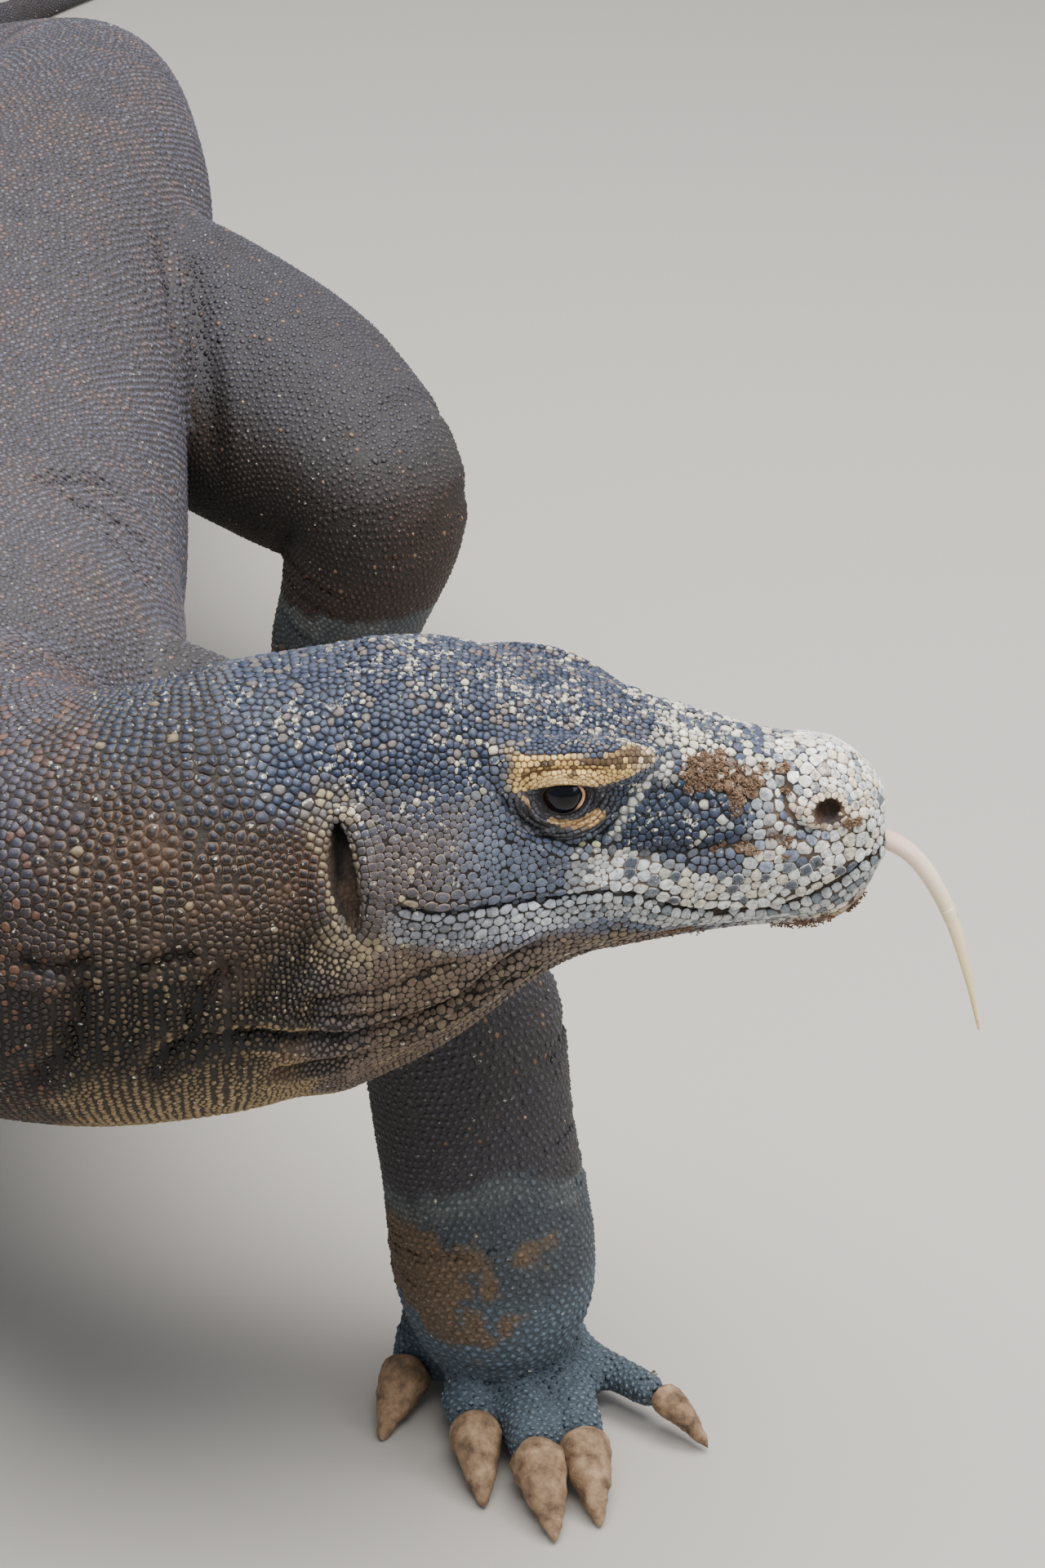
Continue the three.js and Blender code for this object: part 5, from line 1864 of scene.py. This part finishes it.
def new_tree(name, **inputs):
    """A tree that takes a geometry and other named inputs: the tree, its inputs, and a way to close it."""
    tree = bpy.data.node_groups.new(name, "GeometryNodeTree")
    face = tree.interface
    face.new_socket("Geometry", in_out="INPUT", socket_type="NodeSocketGeometry")
    for key, kind in inputs.items():
        face.new_socket(key.replace("_", " "), in_out="INPUT", socket_type=f"NodeSocket{kind}")
    face.new_socket("Geometry", in_out="OUTPUT", socket_type="NodeSocketGeometry")
    given = tree.nodes.new("NodeGroupInput").outputs

    def close(geometry, material):
        real = node(tree, "GeometryNodeRealizeInstances", geometry).outputs["Geometry"]
        finish = node(tree, "GeometryNodeSetMaterial", Geometry=real, Material=material)
        node(tree, "NodeGroupOutput", finish.outputs["Geometry"])
        return tree

    return tree, given, close


def crumb_tree(material):
    tree, given, close = new_tree("crumbs", Crumb_Size="Float", Seed="Int")
    lump = node(tree, "GeometryNodeMeshIcoSphere", Radius=given["Crumb Size"], Subdivisions=1)
    turn = node(tree, "FunctionNodeRandomValue", data_type="FLOAT_VECTOR", Max=(6.28, 6.28, 6.28),
                Seed=given["Seed"])
    grow = node(tree, "FunctionNodeRandomValue", data_type="FLOAT_VECTOR", Min=(0.6, 0.6, 0.6),
                Max=(1.3, 1.3, 1.3), Seed=given["Seed"])
    crumbs = node(tree, "GeometryNodeInstanceOnPoints", Points=given["Geometry"],
                  Instance=lump.outputs["Mesh"], Rotation=turn.outputs["Value"], Scale=grow.outputs["Value"])
    return close(crumbs.outputs["Instances"], material)


def grown(name, mesh, tree, **inputs):
    """Run a tree on a mesh and keep the result as a plain mesh."""
    result = worked(mesh, "NODES", {key.replace("_", " "): inputs[key] for key in inputs}, node_group=tree)
    result.name = name
    return result


def mud_material(name, *stops):
    """Dried mud: lumpy tan, rough, with grit."""
    material, tree, shader, place = new_material(name)
    tree.links.new(ramp(tree, noise(tree, place, 150.0, 6.0, 0.65), *stops), shader["Base Color"])
    shader["Roughness"].default_value = 0.88
    roughen(tree, shader, noise(tree, place, 900.0, 4.0, 0.7), 0.7, 0.0006)
    return material


# %% Crumbs on the head
crumb_finish = mud_material("mud_crumbs", (0.32, (0.10, 0.055, 0.030)), (0.68, (0.30, 0.19, 0.115)))
muddy = mud_on_head(clay.points) * (head_place(clay.points)[0] < 100)
picked = np.repeat(np.flatnonzero(chance.random(len(muddy)) < muddy * 0.85), 6)
lift = chance.uniform(0.25, 1.25, (len(picked), 1))
scatter = chance.uniform(-0.7, 0.7, (len(picked), 3))
crumb_points = new_mesh("crumb_points", to_frame(clay.points[picked] + scatter + clay.out[picked] * lift))
mesh = grown("mud_crumbs", crumb_points, crumb_tree(crumb_finish), Crumb_Size=0.00038, Seed=4)
link_piece("mud_crumbs", mesh, crumb_finish)
print(len(picked), "crumbs,", len(mesh.polygons), "faces")

# %% [markdown]
# ## Eyes
# An eye is a ball with a wet, glossy surface. The lids hide most of it, so what shows is a dark iris with a
# deep pupil and, in the front corner, the warm rim of the lid.
# %% Eye balls and rims
PUPIL, IRIS = 0.36, 0.66  # how far each reaches from the ball's pole, in radians


def ball_mesh(name, centre, axis, radius, rings=40, sides=48):
    """A ball whose pole faces outward, so that rings run round the pupil; its points hold its colours."""
    axis = unit(np.array(axis, float))
    side = unit(np.cross(axis, (0.0, 0.0, 1.0)))
    over = np.cross(side, axis)
    polar = np.linspace(0, math.pi, rings + 1)[1:-1]
    turn = np.linspace(0, 2 * math.pi, sides, endpoint=False)
    points, colours = [centre + axis * radius * 1.03], [tone(2, 3, 6)]
    for angle in polar:
        bulge = radius * (1 + 0.03 * ease(angle, 0.6, 0.2))
        circle = np.cos(turn)[:, None] * side + np.sin(turn)[:, None] * over
        points.extend(centre + bulge * (math.cos(angle) * axis + math.sin(angle) * circle))
        # painted reflection: the iris is tinted dark navy for the sky's blue reflection; beyond it the ball
        # is dark brown
        round_pupil = tone(9, 12, 26) if angle < IRIS else tone(34, 22, 18)
        colour = tone(2, 3, 6) if angle < PUPIL else round_pupil
        colours.extend([colour] * sides)
    points.append(centre - axis * radius)
    colours.append(tone(40, 24, 18))
    faces = [(0, 1 + k, 1 + (k + 1) % sides) for k in range(sides)]
    for i in range(len(polar) - 1):
        for k in range(sides):
            j = (k + 1) % sides
            a = 1 + i * sides
            faces.append((a + k, a + sides + k, a + sides + j, a + j))
    last = 1 + (len(polar) - 1) * sides
    faces += [(last + (k + 1) % sides, last + k, len(points) - 1) for k in range(sides)]
    mesh = new_mesh(name, to_frame(np.array(points)), faces)
    store_colours(mesh, "tint", colours)
    outward(mesh)
    mesh.shade_smooth()
    return mesh


def outward(mesh):
    shape = bmesh.new()
    shape.from_mesh(mesh)
    bmesh.ops.remove_doubles(shape, verts=shape.verts, dist=1e-7)
    bmesh.ops.recalc_face_normals(shape, faces=shape.faces)
    shape.to_mesh(mesh)
    shape.free()


eye_finish, tree, shader, _ = new_material("eye_wet")
tree.links.new(stored_colour(tree, "tint"), shader["Base Color"])
shader["Roughness"].default_value = 0.05
shader["Specular IOR Level"].default_value = 0.28

rim_finish, tree, shader, place = new_material("lid_rim")
mottle = ramp(tree, noise(tree, place, 520.0, 3.0), (0.3, 0.6), (0.7, 1.2))
tree.links.new(blend(tree, stored_colour(tree, "tint"), mottle), shader["Base Color"])
shader["Roughness"].default_value = 0.32


def ring_tube(name, line, radii, warmth, sides=10):
    """A closed tube along a closed line."""
    along = unit(np.roll(line, -1, axis=0) - np.roll(line, 1, axis=0))
    middle = line.mean(axis=0)
    away = unit(line - middle - along * np.sum((line - middle) * along, axis=1)[:, None])
    over = np.cross(along, away)
    angle = np.linspace(0, 2 * math.pi, sides, endpoint=False)
    rings = (line[:, None] + radii[:, None, None]
             * (np.cos(angle)[None, :, None] * away[:, None] + np.sin(angle)[None, :, None] * over[:, None]))
    n = len(line)
    faces = [(i * sides + k, i * sides + (k + 1) % sides, ((i + 1) % n) * sides + (k + 1) % sides,
              ((i + 1) % n) * sides + k) for i in range(n) for k in range(sides)]
    mesh = new_mesh(name, to_frame(rings.reshape(-1, 3)), faces)
    warm = np.repeat(warmth, sides)[:, None]
    store_colours(mesh, "tint", tone(40, 30, 28) * (1 - warm) + tone(214, 164, 122) * warm)
    outward(mesh)
    mesh.shade_smooth()
    return mesh


for name, side in (("left", 1), ("right", -1)):
    centre = eye_centre(side)
    gaze = (0.12, side * 1.0, 0.04)
    mesh = ball_mesh(f"ball_{name}", centre, gaze, EYE_RADIUS - 0.1)
    ball = link_piece(f"ball_{name}", mesh, eye_finish)
    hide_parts(f"eye_{name}")
    turn = np.linspace(0, 2 * math.pi, 96, endpoint=False)
    back = OPENING_BACK * 1.02 * power(np.cos(turn), 2 / ALMOND)
    height = OPENING_HEIGHT * power(np.sin(turn), 2 / ALMOND) * np.where(np.sin(turn) > 0, UPPER_SHARE, 1.0)
    x, z = -(back + 0.4), height + 0.4 - 0.10 * back
    depth = np.sqrt(np.maximum((EYE_RADIUS + 0.35) ** 2 - x * x - z * z, 4))
    line = centre + np.column_stack((x, side * depth, z))
    warmth = ease(x - 0.3 * np.abs(z), 2.2, 5.2)
    thick = 0.26 + 0.30 * warmth
    link_piece(f"lid_rim_{name}", ring_tube(f"lid_rim_{name}", line, thick, warmth), rim_finish)
print("eyes and lid rims")

# %% [markdown]
# ## Claws
# All twenty claws follow one rule: a line from the toe's end that hooks down to the floor, thick at its
# root and coming to a point. A Geometry Nodes tree sweeps a round section along such a line and roughens it
# like dried mud; its inputs are the number of sides, the length of a step and the depth of the mud.
# %% The claw tree


def claw_tree(material):
    tree, given, close = new_tree("claw_sweep", Sides="Int", Step="Float", Mud_Depth="Float")
    curve = node(tree, "GeometryNodeMeshToCurve", Mesh=given["Geometry"]).outputs["Curve"]
    width = node(tree, "GeometryNodeInputNamedAttribute", data_type="FLOAT", Name="width")
    wide = node(tree, "GeometryNodeSetCurveRadius", Curve=curve, Radius=width.outputs["Attribute"])
    even = node(tree, "GeometryNodeResampleCurve", mode="LENGTH", Curve=wide.outputs["Curve"],
                Length=given["Step"]).outputs["Curve"]
    section = node(tree, "GeometryNodeCurvePrimitiveCircle", Radius=1.0, Resolution=given["Sides"])
    radius = node(tree, "GeometryNodeInputRadius").outputs["Radius"]
    sweep = node(tree, "GeometryNodeCurveToMesh", Curve=even, Profile_Curve=section.outputs["Curve"],
                 Scale=radius, Fill_Caps=True).outputs["Mesh"]
    lumps = node(tree, "ShaderNodeTexNoise", Scale=170.0, Detail=5.0).outputs["Fac"]
    centred = node(tree, "ShaderNodeMath", lumps, 0.5, operation="SUBTRACT").outputs["Value"]
    depth = node(tree, "ShaderNodeMath", centred, given["Mud Depth"], operation="MULTIPLY")
    push = node(tree, "ShaderNodeVectorMath", operation="SCALE", Scale=depth.outputs["Value"],
                Vector=node(tree, "GeometryNodeInputNormal").outputs["Normal"]).outputs["Vector"]
    moved = node(tree, "GeometryNodeSetPosition", Geometry=sweep, Offset=push).outputs["Geometry"]
    return close(moved, material)


claw_finish = mud_material("claw_mud", (0.32, (0.085, 0.052, 0.030)), (0.5, (0.25, 0.155, 0.088)),
                           (0.68, (0.40, 0.27, 0.16)))
claw_rule = claw_tree(claw_finish)

# %% Twenty claws
CLAW_STEPS = 40
CLAW_SHAPE = ((0, 0.08, 0.22, 0.34, 0.42, 0.6, 0.8, 0.95, 1),
              (0.90, 1.1, 1.08, 0.92, 0.88, 0.70, 0.42, 0.19, 0.04))  # share of the length, share of the toe
for leg in LEGS:
    for i, toe in enumerate(TOES[leg[:4]]):
        name = f"{leg}_claw_{i + 1}"
        stops = toe_stops(leg, toe)[1]
        knots = walk_of(stops[:, :3])
        fine = cubic(knots, stops, np.linspace(0, knots[-1], CLAW_STEPS))
        thick = np.interp(np.linspace(0, 1, CLAW_STEPS), *CLAW_SHAPE) * (0.86 if i == 4 else 1.0)
        fine[:, 3] = toe[4] * thick
        steps = [(k, k + 1) for k in range(CLAW_STEPS - 1)]
        line = new_mesh("claw_line", to_frame(fine[:, :3]), edges=steps)
        width = line.attributes.new("width", "FLOAT", "POINT")
        width.data.foreach_set("value", (fine[:, 3] / 1000).astype(np.float32))
        mesh = grown(f"horn_{name}", line, claw_rule, Sides=20, Step=0.0011, Mud_Depth=0.0036)
        outward(mesh)
        mesh.shade_smooth()
        piece = link_piece(f"horn_{name}", mesh, claw_finish)
        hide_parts(name)
print("twenty claws of", len(mesh.polygons), "faces")

# %% [markdown]
# ## Tongue
# The tongue is a flattened rod that leaves the mouth, bends down and parts into two fine tines. Each
# stretch is swept along the same curve, so the tines begin inside the root and no gap shows.
# %% Tongue
TONGUE_LINE = rows("""
16 291 0
4 290.5 0
-9 283 0
-23 261 0
-32 234 1
-39 204 2""")
tongue_path = np.column_stack((SNOUT_X - TONGUE_LINE[:, 0], HEAD_Y - TONGUE_LINE[:, 2], TONGUE_LINE[:, 1]))
tongue_knots = walk_of(tongue_path, 0.5)
fine_path = cubic(tongue_knots, tongue_path, np.linspace(0, tongue_knots[-1], 300))
tongue_walk = walk_of(fine_path)
WIDE, THICK, TINE_TIP, FORK = 4.8, 3.7, 0.45, 0.52


def tongue_rings(start, end, steps, size, sides=20):
    reach = np.linspace(start, end, steps) * tongue_walk[-1]
    at = np.column_stack([np.interp(reach, tongue_walk, fine_path[:, i]) for i in range(3)])
    step = unit(np.gradient(at, axis=0))
    over = np.column_stack((step[:, 2], np.zeros(steps), -step[:, 0]))
    angle = np.linspace(0, 2 * math.pi, sides, endpoint=False)
    wide, thick, shift = np.array([size(t) for t in np.linspace(0, 1, steps)]).T
    rings = at[:, None] + over[:, None] * (np.sin(angle)[None] * thick[:, None])[:, :, None]
    rings[:, :, 1] += shift[:, None] + np.cos(angle)[None] * wide[:, None]
    return rings


def tine(side, reach):
    def size(t):
        left = 1 - t ** 1.4
        return (TINE_TIP + (WIDE * 0.47 - TINE_TIP) * left, TINE_TIP + (THICK * 0.7 - TINE_TIP) * left,
                side * (WIDE * 0.42 + t * 4.6))
    return tongue_rings(FORK - 0.05, reach, 40, size)


root = tongue_rings(0, FORK, 36, lambda t: (WIDE * (1 - 0.12 * t), THICK * (1 - 0.2 * t), 0))
tongue_mesh = grid_mesh("tongue_soft", [root, tine(1, 0.995), tine(-1, 0.895)])
set_points(tongue_mesh, to_frame(points_of(tongue_mesh)))
outward(tongue_mesh)
tongue_mesh.shade_smooth()
tongue_finish, tree, shader, place = new_material("tongue_moist")
height = node(tree, "ShaderNodeSeparateXYZ", Vector=place).outputs["Z"]
spread = node(tree, "ShaderNodeMapRange", Value=height, From_Min=SHIFT[2] + 0.204, From_Max=SHIFT[2] + 0.291)
tint = ramp(tree, spread.outputs["Result"], (0.0, (0.88, 0.60, 0.25)), (0.45, (0.94, 0.78, 0.45)),
            (0.85, (0.94, 0.78, 0.60)), (1.0, (0.80, 0.56, 0.46)))
tree.links.new(tint, shader["Base Color"])
for key, value in {"Roughness": 0.3, "Subsurface Weight": 0.15, "Subsurface Scale": 0.004}.items():
    shader[key].default_value = value
roughen(tree, shader, noise(tree, place, 400.0, 3.0), 0.2, 0.0004)
tongue_piece = link_piece("tongue_soft", tongue_mesh, tongue_finish)
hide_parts("tongue")
print("tongue of", len(tongue_mesh.polygons), "faces")
